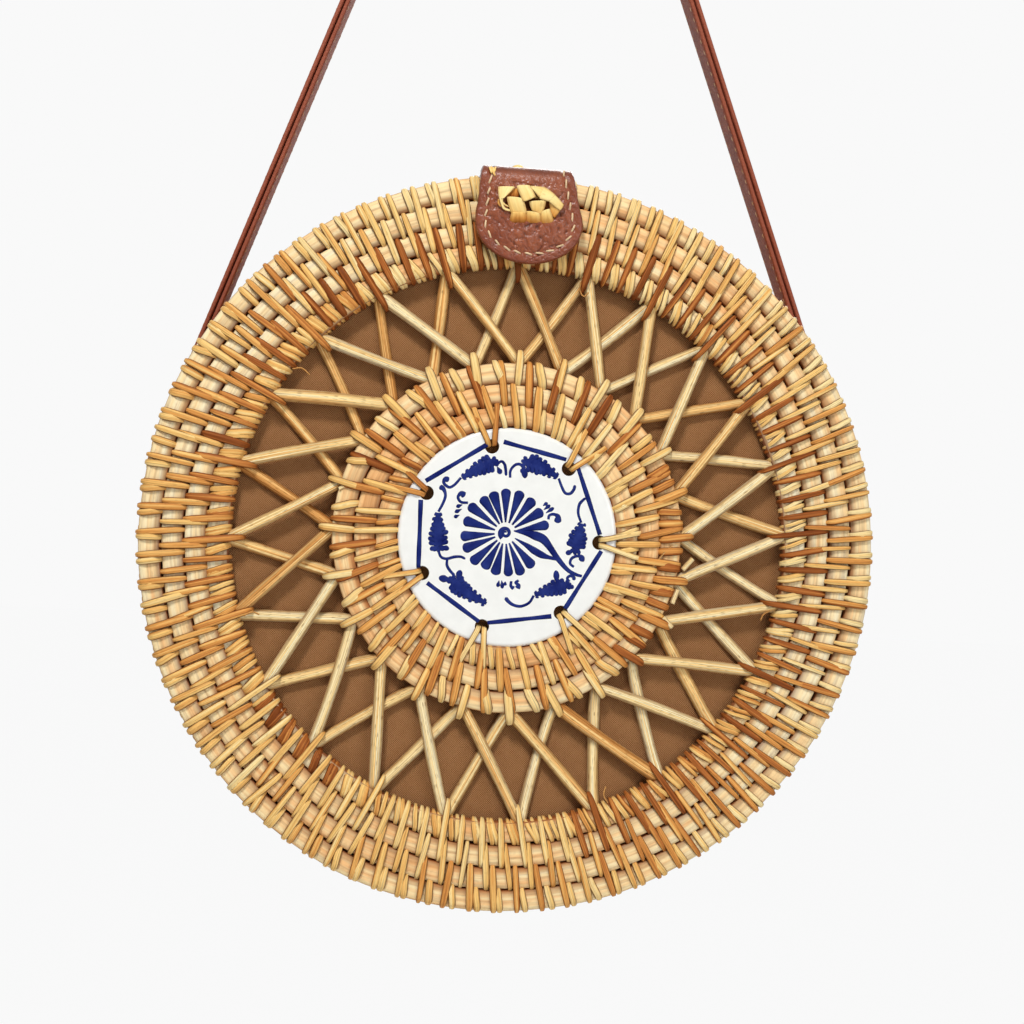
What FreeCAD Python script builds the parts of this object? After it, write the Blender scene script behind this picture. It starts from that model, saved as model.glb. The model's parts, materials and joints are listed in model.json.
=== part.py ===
import FreeCAD, Part
import math
import os

os.makedirs("parts", exist_ok=True)
Vec = FreeCAD.Vector
y_axis = Vec(0, 1, 0)

# Lengths in mm, angles in degrees. While it is being drawn, the bag's centre is at 0,0,0:
# the parting plane between its halves is y = 0, the front faces -Y and +Z is up.

# Whole bag
bag_diameter = 200.0        # over the binding strands
binding_thickness = 1.0     # strand wound over the coiled rod
parting_gap = 0.4           # between the edges of the two halves
seat_gap = 0.1              # between pieces that bear on each other
overshoot = 1.0             # cutting shapes run this far past what they cut

# Coiled rod, the core of the rim, hub, walls and back
rod_width = 5.6
rod_thickness = 5.0
rod_flat = 2.0              # flattened face of the rod
turn_gap = 0.3              # between neighbouring turns
groove_share = 0.45         # half-thickness left in the groove, as a share of the rod's
rim_turns = 4
hub_turns = 3
lid_wall_turns = 5
back_wall_turns = 6
back_button_diameter = 9.2  # plug in the middle of the back

# Lattice of split reeds between rim and hub
reed_count = 24             # folds on the rim, and on the hub
reed_width = 3.1
reed_thickness = 2.1
reed_layer_gap = 0.3        # between crossing reeds
reed_end_gap = 0.25         # to the rods that the folds are bound to
fold_start = 2.6            # angle of the first fold from +X
fold_wander = 2.6           # how far the hand-set folds stray
fold_twist = 2.0            # hub folds lie this far clockwise of the rim's
hub_offset_x = -0.4         # the hand-set hub sits a little off centre
hub_offset_z = 1.75

# Ceramic medallion and its ties
medallion_diameter = 59.5
medallion_thickness = 4.7
medallion_edge = 1.2
medallion_gap = 0.35        # to the hub's inner turn
tie_holes = 7
tie_hole_diameter = 3.9
tie_hole_edge_distance = 4.75   # from the medallion's edge to the holes' centres
tie_hole_start = 102.0
tie_width = 1.6
tie_thickness = 0.9
tie_splay = 8.0

# Cotton lining
cloth = 0.9

# Leather strap, lying flat on the side wall and hung over a peg
strap_width = 12.0
strap_layer = 1.5
strap_layer_gap = 0.1
strap_clearance = 0.3       # over the binding
strap_lean = 20.3           # of each run from the vertical
strap_on_wall = 45.0        # length lashed to the wall
strap_free = 22.0           # from leaving the wall to the bend that it swings at
strap_edge = 0.8            # strap's front edge behind the parting plane
peg_radius = 12.0
swing_clearance = 0.3
lashing_steps = (6.0, 14.0, 22.0)
lashing_span = 8.0
lashing_width = 2.4
lashing_thickness = 1.0
lashing_leg = 1.2

# Closure flap
flap_layer = 1.0
flap_layer_gap = 0.05
flap_clearance = 0.3        # over the coils, for the strands that hold it
flap_bedding = 0.5          # the leather presses this far into the binding
flap_standoff = 3.4         # from the rim's face to the flap's inside, for the snap
flap_fold = 1.8
flap_top_width = 24.8
flap_width = 29.2
flap_drop = 26.2
flap_round = 11.2           # height of the rounded tip
flap_skew = 1.2             # its top lies this far left of its tip
flap_turn = 1.1             # the flap sits this far right of the top
flap_base_length = 21.0
flap_hinge_y = 2.5
flap_hinge_gap = 0.3
flap_lashing_x = 4.0
flap_lashing_span = 9.0

# Snap fastener
snap_flange = 8.8
snap_flange_thickness = 0.8
snap_stud_diameter = 4.2
snap_shank_diameter = 2.4
snap_fit = 0.2
snap_cap_diameter = 5.6
snap_cap_thickness = 0.6

# Rattan knot on the flap
knot_length = 17.0
knot_height = 10.0
knot_thickness = 3.4
knot_strip = 4.2
knot_slant = 27.0
knot_drop = 2.1             # its middle lies this far below the snap's

# Lashed hinge at the bottom
hinge_cane_diameter = 2.4
hinge_fit = 0.05
hinge_loop = 1.0            # thickness of the strand around the cane
hinge_clearance = 0.3       # from the coils to the loops
hinge_loop_width = 5.2
hinge_loop_gap = 0.6
hinge_tail = 14.0
hinge_tail_thickness = 1.2
hinge_loops = 5             # odd: the outermost are on the back half

pitch = rod_width + turn_gap
coil_radius = bag_diameter / 2 - binding_thickness
wall_mid = coil_radius - rod_thickness / 2
wall_inside = coil_radius - rod_thickness
wall_first = parting_gap / 2 + rod_width / 2
lid_wall_end = wall_first + (lid_wall_turns - 1) * pitch + rod_width / 2
back_wall_end = wall_first + (back_wall_turns - 1) * pitch + rod_width / 2
rim_mid_y = -(lid_wall_end + seat_gap + rod_thickness / 2)
front_y = rim_mid_y - rod_thickness / 2
rim_back_y = rim_mid_y + rod_thickness / 2
disc_mid_y = back_wall_end + seat_gap + rod_thickness / 2
back_y = disc_mid_y + rod_thickness / 2
rim_outer_mid = coil_radius - rod_width / 2
rim_inner_mid = rim_outer_mid - (rim_turns - 1) * pitch
rim_inside = rim_inner_mid - rod_width / 2
hub_inside = medallion_diameter / 2 + medallion_gap
hub_first_mid = hub_inside + rod_width / 2
hub_outside = hub_inside + (hub_turns - 1) * pitch + rod_width
hub_centre = Vec(hub_offset_x, 0, hub_offset_z)
tie_hole_radius = medallion_diameter / 2 - tie_hole_edge_distance


def coil(turns, first, mid, wall, spacing):
    # One rod wound into neighbouring turns, shown as ridges with flattened faces.
    # first is the centre of the turn at the low end of the stack and mid the
    # centre of its thickness. spacing is the distance from turn to turn. A wall
    # stacks along Y and a disc along the radius.
    half = rod_thickness / 2
    neck = half * groove_share
    corner = (rod_width - rod_flat) / 2
    reach = (spacing - rod_flat) / 2
    drop = half - neck
    curve = (reach ** 2 + drop ** 2) / (2 * drop)
    turn = math.atan2(reach, curve - drop) / 2

    def place(u, v):
        return Vec(mid + v, u, 0) if wall else Vec(u, mid + v, 0)

    edges = []
    last_point = []

    def start(u, v):
        last_point[:] = [place(u, v)]

    def line(u, v):
        edges.append(Part.LineSegment(last_point[0], place(u, v)).toShape())
        last_point[0] = place(u, v)

    def arc(via, to):
        edges.append(Part.Arc(last_point[0], place(*via), place(*to)).toShape())
        last_point[0] = place(*to)

    ends = (first - rod_width / 2, first + (turns - 1) * spacing + rod_width / 2)
    bend = corner * (1 - math.sqrt(0.5))
    side = curve * math.sin(turn)
    fall = curve * (1 - math.cos(turn))
    start(ends[0], half - corner)
    for face in (1, -1):
        step = face
        index = 0 if face == 1 else turns - 1
        end = ends[0] if face == 1 else ends[1]
        arc((end + step * bend, face * (half - bend)), (end + step * corner, face * half))
        for number in range(turns):
            centre = first + index * spacing
            line(centre + step * rod_flat / 2, face * half)
            if number < turns - 1:
                flat_end = centre + step * rod_flat / 2
                groove = centre + step * spacing / 2
                next_flat = centre + step * (spacing - rod_flat / 2)
                arc((flat_end + step * side, face * (half - fall)), (groove, face * neck))
                arc((next_flat - step * side, face * (half - fall)), (next_flat, face * half))
            index += step
        far = ends[1] if face == 1 else ends[0]
        arc((far - step * bend, face * (half - bend)), (far, face * (half - corner)))
        line(far, -face * (half - corner))
    face_shape = Part.Face(Part.Wire(edges))
    return face_shape.revolve(Vec(0, 0, 0), y_axis, 360)


def disc(radius, y0, y1, centre=Vec(0, 0, 0)):
    return Part.makeCylinder(radius, y1 - y0, centre + Vec(0, y0, 0), y_axis)


def block(x0, x1, y0, y1, z0, z1):
    return Part.makeBox(x1 - x0, y1 - y0, z1 - z0, Vec(x0, y0, z0))


def about_y(shape, angle, centre=Vec(0, 0, 0)):
    shape.rotate(centre, y_axis, angle)
    return shape


def solid(shape):
    return shape.Solids[0]


nodes = {}

# Front of the lid
snap_radius = rim_outer_mid - pitch / 2
snap_point = Vec(0, 0, snap_radius)
snap_depth = rod_thickness * 0.8
rim = coil(rim_turns, rim_inner_mid, rim_mid_y, False, pitch)
shank_hole = Part.makeCylinder(
    snap_shank_diameter / 2 + hinge_fit, snap_depth, snap_point + Vec(0, front_y, 0), y_axis)
nodes["front_rim_coil"] = rim.cut(about_y(shank_hole, flap_turn))
nodes["front_wall_coil"] = coil(
    lid_wall_turns, -(wall_first + (lid_wall_turns - 1) * pitch), wall_mid, True, pitch)
hub = coil(hub_turns, hub_first_mid, rim_mid_y, False, pitch)
hub.translate(hub_centre)
nodes["hub_coil"] = hub

# Lattice: each rim fold sends one reed to the hub fold on either side of it
gap_ring = disc(rim_inside - reed_end_gap, front_y, rim_back_y).cut(
    disc(hub_outside + reed_end_gap, front_y - overshoot, rim_back_y + overshoot, hub_centre))


def fold_angle(number):
    plain = fold_start + 360.0 / reed_count * number
    return math.radians(plain + fold_wander * math.sin(math.radians(plain - 217)))


def reed(number, step, y_back):
    outer = fold_angle(number)
    inner = fold_angle(number + step) - math.radians(fold_twist)
    a = Vec(rim_inside * math.cos(outer), 0, rim_inside * math.sin(outer))
    b = hub_centre + Vec(hub_outside * math.cos(inner), 0, hub_outside * math.sin(inner))
    run = b - a
    run.normalize()
    across = Vec(-run.z, 0, run.x)
    start = a - run * reed_width
    section = [(-0.5, 0), (0.5, 0), (0.5, 0.45), (0.28, 1), (-0.28, 1), (-0.5, 0.45), (-0.5, 0)]
    outline = [start + across * (u * reed_width) + Vec(0, y_back - v * reed_thickness, 0)
               for u, v in section]
    length = (b - a).Length + 2 * reed_width
    bar = Part.Face(Part.makePolygon(outline)).extrude(run * length)
    return solid(bar.common(gap_ring))


under_back = rim_back_y - reed_layer_gap
over_back = under_back - reed_thickness - reed_layer_gap
nodes["lattice_over_reeds"] = Part.makeCompound(
    [reed(n, -1, over_back) for n in range(reed_count)])
nodes["lattice_under_reeds"] = Part.makeCompound(
    [reed(n, 1, under_back) for n in range(reed_count)])

# Ceramic medallion, tied to the hub through its holes
medallion = disc(medallion_diameter / 2, front_y, front_y + medallion_thickness)
rounded = [e for e in medallion.Edges if isinstance(e.Curve, Part.Circle)]
medallion = medallion.makeFillet(medallion_edge, rounded)
tie_end = hub_first_mid + pitch / 2
tie_y = front_y - seat_gap
ties = []
for number in range(tie_holes):
    turn = tie_hole_start - 360.0 / tie_holes * number
    hole_point = Vec(tie_hole_radius, 0, 0)
    hole = disc(tie_hole_diameter / 2, front_y - overshoot,
                front_y + medallion_thickness + overshoot, hole_point)
    medallion = medallion.cut(about_y(hole, -turn))
    for side in (1, -1):
        mid = side * (tie_width / 2 + seat_gap)
        run = block(tie_hole_radius - tie_thickness / 2, tie_end, tie_y - tie_thickness, tie_y,
                    mid - tie_width / 2, mid + tie_width / 2)
        leg = block(tie_hole_radius - tie_thickness / 2, tie_hole_radius + tie_thickness / 2,
                    tie_y - tie_thickness, front_y + medallion_thickness,
                    mid - tie_width / 2, mid + tie_width / 2)
        tie = about_y(run.fuse(leg).removeSplitter(), -side * tie_splay, hole_point)
        tie = about_y(tie, -turn)
        tie.translate(hub_centre)
        ties.append(solid(tie))
medallion.translate(hub_centre)
nodes["ceramic_medallion"] = medallion
nodes["medallion_ties"] = Part.makeCompound(ties)

# Lining of the lid
panel_radius = wall_inside - 2 * seat_gap
lid_panel_back = rim_back_y + 2 * seat_gap + cloth
nodes["front_lining_panel"] = disc(panel_radius, rim_back_y + 2 * seat_gap, lid_panel_back)
band_outside = wall_inside - seat_gap
lid_band = disc(band_outside, lid_panel_back + seat_gap, -wall_first / 4).cut(
    disc(band_outside - cloth, lid_panel_back - overshoot, overshoot))
nodes["front_lining_band"] = lid_band

# Back half
button_radius = back_button_diameter / 2
back_first = button_radius + turn_gap + rod_width / 2
back_turns = int((rim_outer_mid - back_first) / pitch + 0.5) + 1
back_pitch = (rim_outer_mid - back_first) / (back_turns - 1)
nodes["back_disc_coil"] = coil(back_turns, back_first, disc_mid_y, False, back_pitch)
nodes["back_centre_button"] = disc(
    button_radius, disc_mid_y - rod_thickness / 2, disc_mid_y + rod_thickness / 2)
nodes["back_wall_coil"] = coil(back_wall_turns, wall_first, wall_mid, True, pitch)
back_panel_front = back_wall_end - cloth
nodes["back_lining_panel"] = disc(panel_radius, back_panel_front, back_wall_end)
nodes["back_lining_band"] = disc(band_outside, wall_first / 4, back_panel_front - seat_gap).cut(
    disc(band_outside - cloth, -overshoot, back_panel_front + overshoot))

# Strap. A band at a distance from the bag's centre runs along the wall, leaves it as
# a tangent, goes over the peg and comes down the other side in the same way.
lean = math.radians(strap_lean)
strap_inside = coil_radius + binding_thickness + strap_clearance
strap_outside = strap_inside + 2 * strap_layer + strap_layer_gap
peg_z = (strap_inside - peg_radius) / math.sin(lean)
hang_z = peg_z + peg_radius
strap_mid_y = strap_edge + strap_width / 2
out_left = Vec(-math.cos(lean), 0, math.sin(lean))
up_left = Vec(math.sin(lean), 0, math.cos(lean))
wall_turn = math.degrees(strap_on_wall / strap_inside)
bend_mid = (strap_inside + strap_outside) / 2
bend_z = (out_left * bend_mid + up_left * strap_free).z


def mirrored(point):
    return Vec(-point.x, point.y, point.z)


def strap_loop(inside, outside):
    edges = []
    rows = []
    for distance in (inside, outside):
        foot = out_left * distance
        top = Vec(0, 0, peg_z) + out_left * (distance - peg_z * math.sin(lean))
        crown = Vec(0, 0, peg_z + distance - peg_z * math.sin(lean))
        rows.append((foot, top, crown))
        edges.append(Part.LineSegment(foot, top).toShape())
        edges.append(Part.Arc(top, crown, mirrored(top)).toShape())
        edges.append(Part.LineSegment(mirrored(top), mirrored(foot)).toShape())
    edges.append(Part.LineSegment(rows[0][0], rows[1][0]).toShape())
    edges.append(Part.LineSegment(mirrored(rows[0][0]), mirrored(rows[1][0])).toShape())
    wire = Part.Wire(Part.__sortEdges__(edges))
    band = Part.Face(wire).extrude(Vec(0, strap_width, 0))
    band.translate(Vec(0, strap_edge, 0))
    return band


def strap_end(inside, outside):
    rows = []
    edges = []
    low = math.radians(strap_lean - wall_turn)
    half = math.radians(strap_lean - wall_turn / 2)
    for distance in (inside, outside):
        end = Vec(-math.cos(low) * distance, 0, math.sin(low) * distance)
        via = Vec(-math.cos(half) * distance, 0, math.sin(half) * distance)
        foot = out_left * distance
        tip = foot + up_left * (strap_free + strap_width)
        rows.append((end, tip))
        edges.append(Part.Arc(end, via, foot).toShape())
        edges.append(Part.LineSegment(foot, tip).toShape())
    edges.append(Part.LineSegment(rows[0][0], rows[1][0]).toShape())
    edges.append(Part.LineSegment(rows[0][1], rows[1][1]).toShape())
    band = Part.Face(Part.Wire(Part.__sortEdges__(edges))).extrude(Vec(0, strap_width, 0))
    band.translate(Vec(0, strap_edge, 0))
    return band


reach_x = bag_diameter
below_bend = block(-reach_x, reach_x, -reach_x, reach_x, -reach_x, bend_z)
round_end = Part.makeCylinder(
    strap_width / 2, 2 * reach_x, Vec(-reach_x, strap_mid_y, bend_z), Vec(1, 0, 0))
round_seat = Part.makeCylinder(
    strap_width / 2 + swing_clearance, 2 * reach_x, Vec(-reach_x, strap_mid_y, bend_z), Vec(1, 0, 0))
layers = {
    "inner": (strap_inside, strap_inside + strap_layer),
    "outer": (strap_outside - strap_layer, strap_outside),
}
for name, (inside, outside) in layers.items():
    nodes["strap_" + name + "_layer"] = strap_loop(inside, outside).cut(below_bend).cut(round_seat)


def staple(span, width, top, foot, clearance):
    # A strand laid along Y over the leather, with a leg through it at each end
    parts = [block(-width / 2 - clearance, width / 2 + clearance, -span / 2, span / 2,
                   top - lashing_thickness, top)]
    for side in (1, -1):
        mid = side * (span - lashing_leg) / 2
        parts.append(block(-width / 2 - clearance, width / 2 + clearance,
                           mid - lashing_leg / 2 - clearance, mid + lashing_leg / 2 + clearance,
                           foot, top))
    return solid(parts[0].fuse(parts[1:]).removeSplitter())


lashing_top = strap_outside + seat_gap + lashing_thickness
lashing_foot = coil_radius + strap_clearance
for name, side in (("left", -1), ("right", 1)):
    ends = []
    for inside, outside in layers.values():
        band = strap_end(inside, outside)
        if side == 1:
            band = band.mirror(Vec(0, 0, 0), Vec(1, 0, 0))
        ends.append(band.common(below_bend.fuse(round_end)))
    lashings = []
    for step in lashing_steps:
        turn = side * (90 - strap_lean + step)
        for grown in (0, seat_gap):
            strand = staple(lashing_span, lashing_width, lashing_top, lashing_foot, grown)
            strand.translate(Vec(0, strap_mid_y, 0))
            strand = about_y(strand, turn)
            if grown:
                ends = [end.cut(strand) for end in ends]
            else:
                lashings.append(strand)
    nodes[name + "_strap_end"] = Part.makeCompound([solid(end) for end in ends])
    nodes[name + "_strap_lashing"] = Part.makeCompound(lashings)

# Closure flap over the top, drawn upright and then turned to its place
flap_in_z = coil_radius + binding_thickness - flap_bedding
flap_in_y = front_y - flap_standoff
flap_thick = 2 * flap_layer + flap_layer_gap
flap_out_z = flap_in_z + flap_thick
flap_out_y = flap_in_y - flap_thick
flap_tip_z = flap_out_z - flap_drop
flap_round_z = flap_tip_z + flap_round
flap_levels = ((0, flap_layer), (flap_layer + flap_layer_gap, flap_thick))
half_top = flap_top_width / 2
half_wide = flap_width / 2
corners = [Vec(-half_wide, 0, flap_round_z), Vec(-half_top - flap_skew, 0, flap_out_z),
           Vec(-half_top - flap_skew, 0, flap_out_z + overshoot),
           Vec(half_top - flap_skew, 0, flap_out_z + overshoot),
           Vec(half_top - flap_skew, 0, flap_out_z), Vec(half_wide, 0, flap_round_z)]
sides = [Part.LineSegment(a, b).toShape() for a, b in zip(corners, corners[1:])]
tip_oval = Part.Ellipse(corners[-1], Vec(0, 0, flap_tip_z), Vec(0, 0, flap_round_z))
round_tip = Part.Arc(tip_oval, 0, math.pi).toShape()
outline = Part.Wire(Part.__sortEdges__(sides + [round_tip]))
flap_outline = Part.Face(outline).extrude(Vec(0, bag_diameter, 0))
flap_outline.translate(Vec(0, -bag_diameter / 2, 0))


def flap_sheet(low, high):
    edges = []
    corners = []
    for depth in (low, high):
        rear = Vec(0, flap_hinge_y - flap_hinge_gap, flap_in_z + depth)
        fold_top = Vec(0, flap_in_y + flap_fold, flap_in_z + depth)
        round_off = (flap_fold + depth) * math.sqrt(0.5)
        via = Vec(0, flap_in_y + flap_fold - round_off, flap_in_z - flap_fold + round_off)
        fold_low = Vec(0, flap_in_y - depth, flap_in_z - flap_fold)
        tip = Vec(0, flap_in_y - depth, flap_tip_z - overshoot)
        edges.append(Part.LineSegment(rear, fold_top).toShape())
        edges.append(Part.Arc(fold_top, via, fold_low).toShape())
        edges.append(Part.LineSegment(fold_low, tip).toShape())
        corners.append((rear, tip))
    for which in (0, 1):
        edges.append(Part.LineSegment(corners[0][which], corners[1][which]).toShape())
    sheet = Part.Face(Part.Wire(Part.__sortEdges__(edges))).extrude(
        Vec(flap_width + 2 * overshoot, 0, 0))
    sheet.translate(Vec(-flap_width / 2 - overshoot, 0, 0))
    return solid(sheet.common(flap_outline))


shank = snap_shank_diameter / 2
rivet_hole = Part.makeCylinder(shank + hinge_fit, 4 * flap_thick,
                               snap_point + Vec(0, flap_in_y + flap_thick, 0), Vec(0, -1, 0))
for name, level in zip(("inner", "outer"), flap_levels):
    sheet = flap_sheet(*level).cut(rivet_hole)
    nodes["flap_" + name + "_leather"] = about_y(solid(sheet), flap_turn)

base_y0 = flap_hinge_y + flap_hinge_gap
base_y1 = base_y0 + flap_base_length
base_layers = [block(-half_top - flap_skew, half_top - flap_skew, base_y0, base_y1,
                     flap_in_z + low, flap_in_z + high) for low, high in flap_levels]
base_lashings = []
base_top = flap_out_z + seat_gap + lashing_thickness
for side in (1, -1):
    for grown in (0, seat_gap):
        strand = staple(flap_lashing_span, lashing_width, base_top,
                        coil_radius + flap_clearance, grown)
        strand.translate(Vec(side * flap_lashing_x - flap_skew, (base_y0 + base_y1) / 2, 0))
        if grown:
            base_layers = [layer.cut(strand) for layer in base_layers]
        else:
            base_lashings.append(strand)
nodes["flap_base"] = about_y(Part.makeCompound([solid(s) for s in base_layers]), flap_turn)
nodes["flap_base_lashings"] = about_y(Part.makeCompound(base_lashings), flap_turn)

# Snap: a stud set into the rim, and a socket riveted through the flap
stud_top = flap_in_y + 2 * seat_gap + snap_cap_thickness
flange = Part.makeCylinder(snap_flange / 2, snap_flange_thickness,
                           snap_point + Vec(0, front_y, 0), Vec(0, -1, 0))
post = Part.makeCylinder(snap_stud_diameter / 2, front_y - stud_top,
                         snap_point + Vec(0, front_y, 0), Vec(0, -1, 0))
pin = Part.makeCylinder(shank, snap_depth - seat_gap, snap_point + Vec(0, front_y, 0), y_axis)
nodes["snap_stud"] = about_y(solid(flange.fuse([post, pin]).removeSplitter()), flap_turn)
socket_y = front_y - snap_flange_thickness - seat_gap
socket = Part.makeCylinder(snap_flange / 2, socket_y - flap_in_y,
                           snap_point + Vec(0, socket_y, 0), Vec(0, -1, 0))
socket = socket.cut(Part.makeCylinder(
    snap_stud_diameter / 2 + snap_fit, socket_y - stud_top + seat_gap,
    snap_point + Vec(0, socket_y, 0), Vec(0, -1, 0)))
rivet = Part.makeCylinder(shank, flap_thick + snap_cap_thickness,
                          snap_point + Vec(0, flap_in_y, 0), Vec(0, -1, 0))
cap = Part.makeCylinder(snap_cap_diameter / 2, snap_cap_thickness,
                        snap_point + Vec(0, flap_out_y, 0), Vec(0, -1, 0))
nodes["snap_socket"] = about_y(solid(socket.fuse([rivet, cap]).removeSplitter()), flap_turn)

# Knot of flat rattan strip, lying over the cap of the snap


def knot_bar(length, width, thick, slant):
    flat = length / 2 - width / 2
    bar = block(-flat, flat, -thick, 0, -width / 2, width / 2)
    for side in (1, -1):
        bar = bar.fuse(disc(width / 2, -thick, 0, Vec(side * flat, 0, 0)))
    return about_y(bar.removeSplitter(), slant)


knot = knot_bar(knot_length, knot_strip, knot_thickness * 0.8, knot_slant)
knot = knot.fuse([knot_bar(knot_length, knot_strip, knot_thickness * 0.8, -knot_slant),
                  knot_bar(knot_height, knot_strip, knot_thickness, 90)]).removeSplitter()
knot.translate(snap_point + Vec(0, flap_out_y, -knot_drop))
cap_room = Part.makeCylinder(snap_cap_diameter / 2 + seat_gap, snap_cap_thickness + seat_gap,
                             snap_point + Vec(0, flap_out_y, 0), Vec(0, -1, 0))
nodes["flap_knot"] = about_y(solid(knot.cut(cap_room)), flap_turn)

# Hinge at the bottom: a cane with loops from both halves around it in turn
loop_in = hinge_cane_diameter / 2 + hinge_fit
loop_out = loop_in + hinge_loop
hinge_z = -(coil_radius + hinge_clearance + loop_out)
loop_step = hinge_loop_width + hinge_loop_gap
hinge_length = hinge_loops * loop_step
nodes["hinge_cane"] = Part.makeCylinder(
    hinge_cane_diameter / 2, hinge_length, Vec(-hinge_length / 2, 0, hinge_z), Vec(1, 0, 0))
halves = {1: [], -1: []}
for number in range(hinge_loops):
    side = 1 if number % 2 == 0 else -1
    x0 = (number - (hinge_loops - 1) / 2) * loop_step - hinge_loop_width / 2
    ring = Part.makeCylinder(loop_out, hinge_loop_width, Vec(x0, 0, hinge_z), Vec(1, 0, 0))
    tail_top = hinge_z + loop_out
    tail = block(x0, x0 + hinge_loop_width, min(0, side * hinge_tail), max(0, side * hinge_tail),
                 tail_top - hinge_tail_thickness, tail_top)
    hole = Part.makeCylinder(loop_in, hinge_loop_width, Vec(x0, 0, hinge_z), Vec(1, 0, 0))
    halves[side].append(solid(ring.fuse(tail).cut(hole).removeSplitter()))
nodes["back_hinge_loops"] = Part.makeCompound(halves[1])
nodes["lid_hinge_loops"] = Part.makeCompound(halves[-1])

# The strap's underside at the top of its bend is the frame's origin
shift = Vec(0, -strap_mid_y, -hang_z)
for name, shape in nodes.items():
    shape.translate(shift)
    shape.exportStep("parts/" + name + ".step")
    print(name, "valid", shape.isValid(), "solids", len(shape.Solids),
          "volume %.1f cm3" % (shape.Volume / 1000))


def say(label, point):
    moved = point + shift
    print(label, [round(value / 1000, 5) for value in (moved.x, moved.y, moved.z)])


say("lid hinge", Vec(0, 0, hinge_z))
flap_pivot = about_y(Part.Vertex(Vec(0, flap_hinge_y, flap_out_z)), flap_turn).Point
say("flap hinge", flap_pivot)
say("strap bend", Vec(0, strap_mid_y, bend_z))
say("bag centre", Vec(0, 0, 0))
say("back face, outer turn", Vec(0, back_y, -rim_outer_mid))
say("front and back planes, front", Vec(0, front_y, 0))
say("lid hollow from", Vec(0, lid_panel_back, 0))
say("back hollow to", Vec(0, back_panel_front, 0))
say("strap run at wall", out_left * strap_inside)
print("lining inside radius", band_outside - cloth, "hang above centre", hang_z)
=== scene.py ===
import json
import math
import bpy
import numpy as np
from mathutils import Matrix, Vector


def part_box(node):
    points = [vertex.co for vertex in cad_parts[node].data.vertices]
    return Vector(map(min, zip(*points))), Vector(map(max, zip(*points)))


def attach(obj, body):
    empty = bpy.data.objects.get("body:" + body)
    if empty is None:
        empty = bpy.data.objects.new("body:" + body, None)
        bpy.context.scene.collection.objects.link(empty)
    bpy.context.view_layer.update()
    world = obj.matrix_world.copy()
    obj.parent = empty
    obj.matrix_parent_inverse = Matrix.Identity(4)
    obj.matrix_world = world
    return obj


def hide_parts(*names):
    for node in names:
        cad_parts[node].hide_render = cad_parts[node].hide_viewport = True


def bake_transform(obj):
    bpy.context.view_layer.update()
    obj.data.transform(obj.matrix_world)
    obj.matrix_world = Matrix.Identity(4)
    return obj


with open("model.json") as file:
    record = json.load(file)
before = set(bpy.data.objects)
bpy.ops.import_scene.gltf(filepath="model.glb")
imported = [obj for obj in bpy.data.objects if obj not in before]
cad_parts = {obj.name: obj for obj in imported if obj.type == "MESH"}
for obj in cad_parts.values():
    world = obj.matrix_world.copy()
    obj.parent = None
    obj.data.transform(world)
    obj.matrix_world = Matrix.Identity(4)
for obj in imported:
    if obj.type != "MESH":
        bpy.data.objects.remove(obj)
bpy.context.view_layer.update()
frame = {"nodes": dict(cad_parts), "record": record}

rng = np.random.default_rng(11)
toMetres = 0.001  # everything below is worked out in mm
nodes = frame["nodes"]
print("frame loaded:", len(nodes), "nodes")


def nodeBox(name):
    low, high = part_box(name)
    return np.array(low) / toMetres, np.array(high) / toMetres


def jointSpot(name):
    spots = {joint["name"]: joint["pos_m"] for joint in frame["record"]["behaviour"]["joints"]}
    return np.array(spots[name]) / toMetres


rimLow, rimHigh = nodeBox("front_rim_coil")
hubLow, hubHigh = nodeBox("hub_coil")
discLow, discHigh = nodeBox("back_disc_coil")
lidWallLow, lidWallHigh = nodeBox("front_wall_coil")
backWallLow, backWallHigh = nodeBox("back_wall_coil")
bagMid = (rimLow + rimHigh) / 2
hubMid = (hubLow + hubHigh) / 2
coilSwell = 0.6  # hand-bound turns stand a little outside the plain solids
coilRadius = (rimHigh[0] - rimLow[0]) / 2 + coilSwell
hubRadius = (hubHigh[0] - hubLow[0]) / 2
frontY, rimBackY, backY = rimLow[1], rimHigh[1], discHigh[1]
partingY = (lidWallHigh[1] + backWallLow[1]) / 2


# Colours are written as sRGB bytes and turned into linear values
def srgb(red, green, blue):
    c = np.array([red, green, blue]) / 255
    lin = np.where(c <= 0.04045, c / 12.92, ((c + 0.055) / 1.055) ** 2.4)
    return (*lin.tolist(), 1.0)


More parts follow.
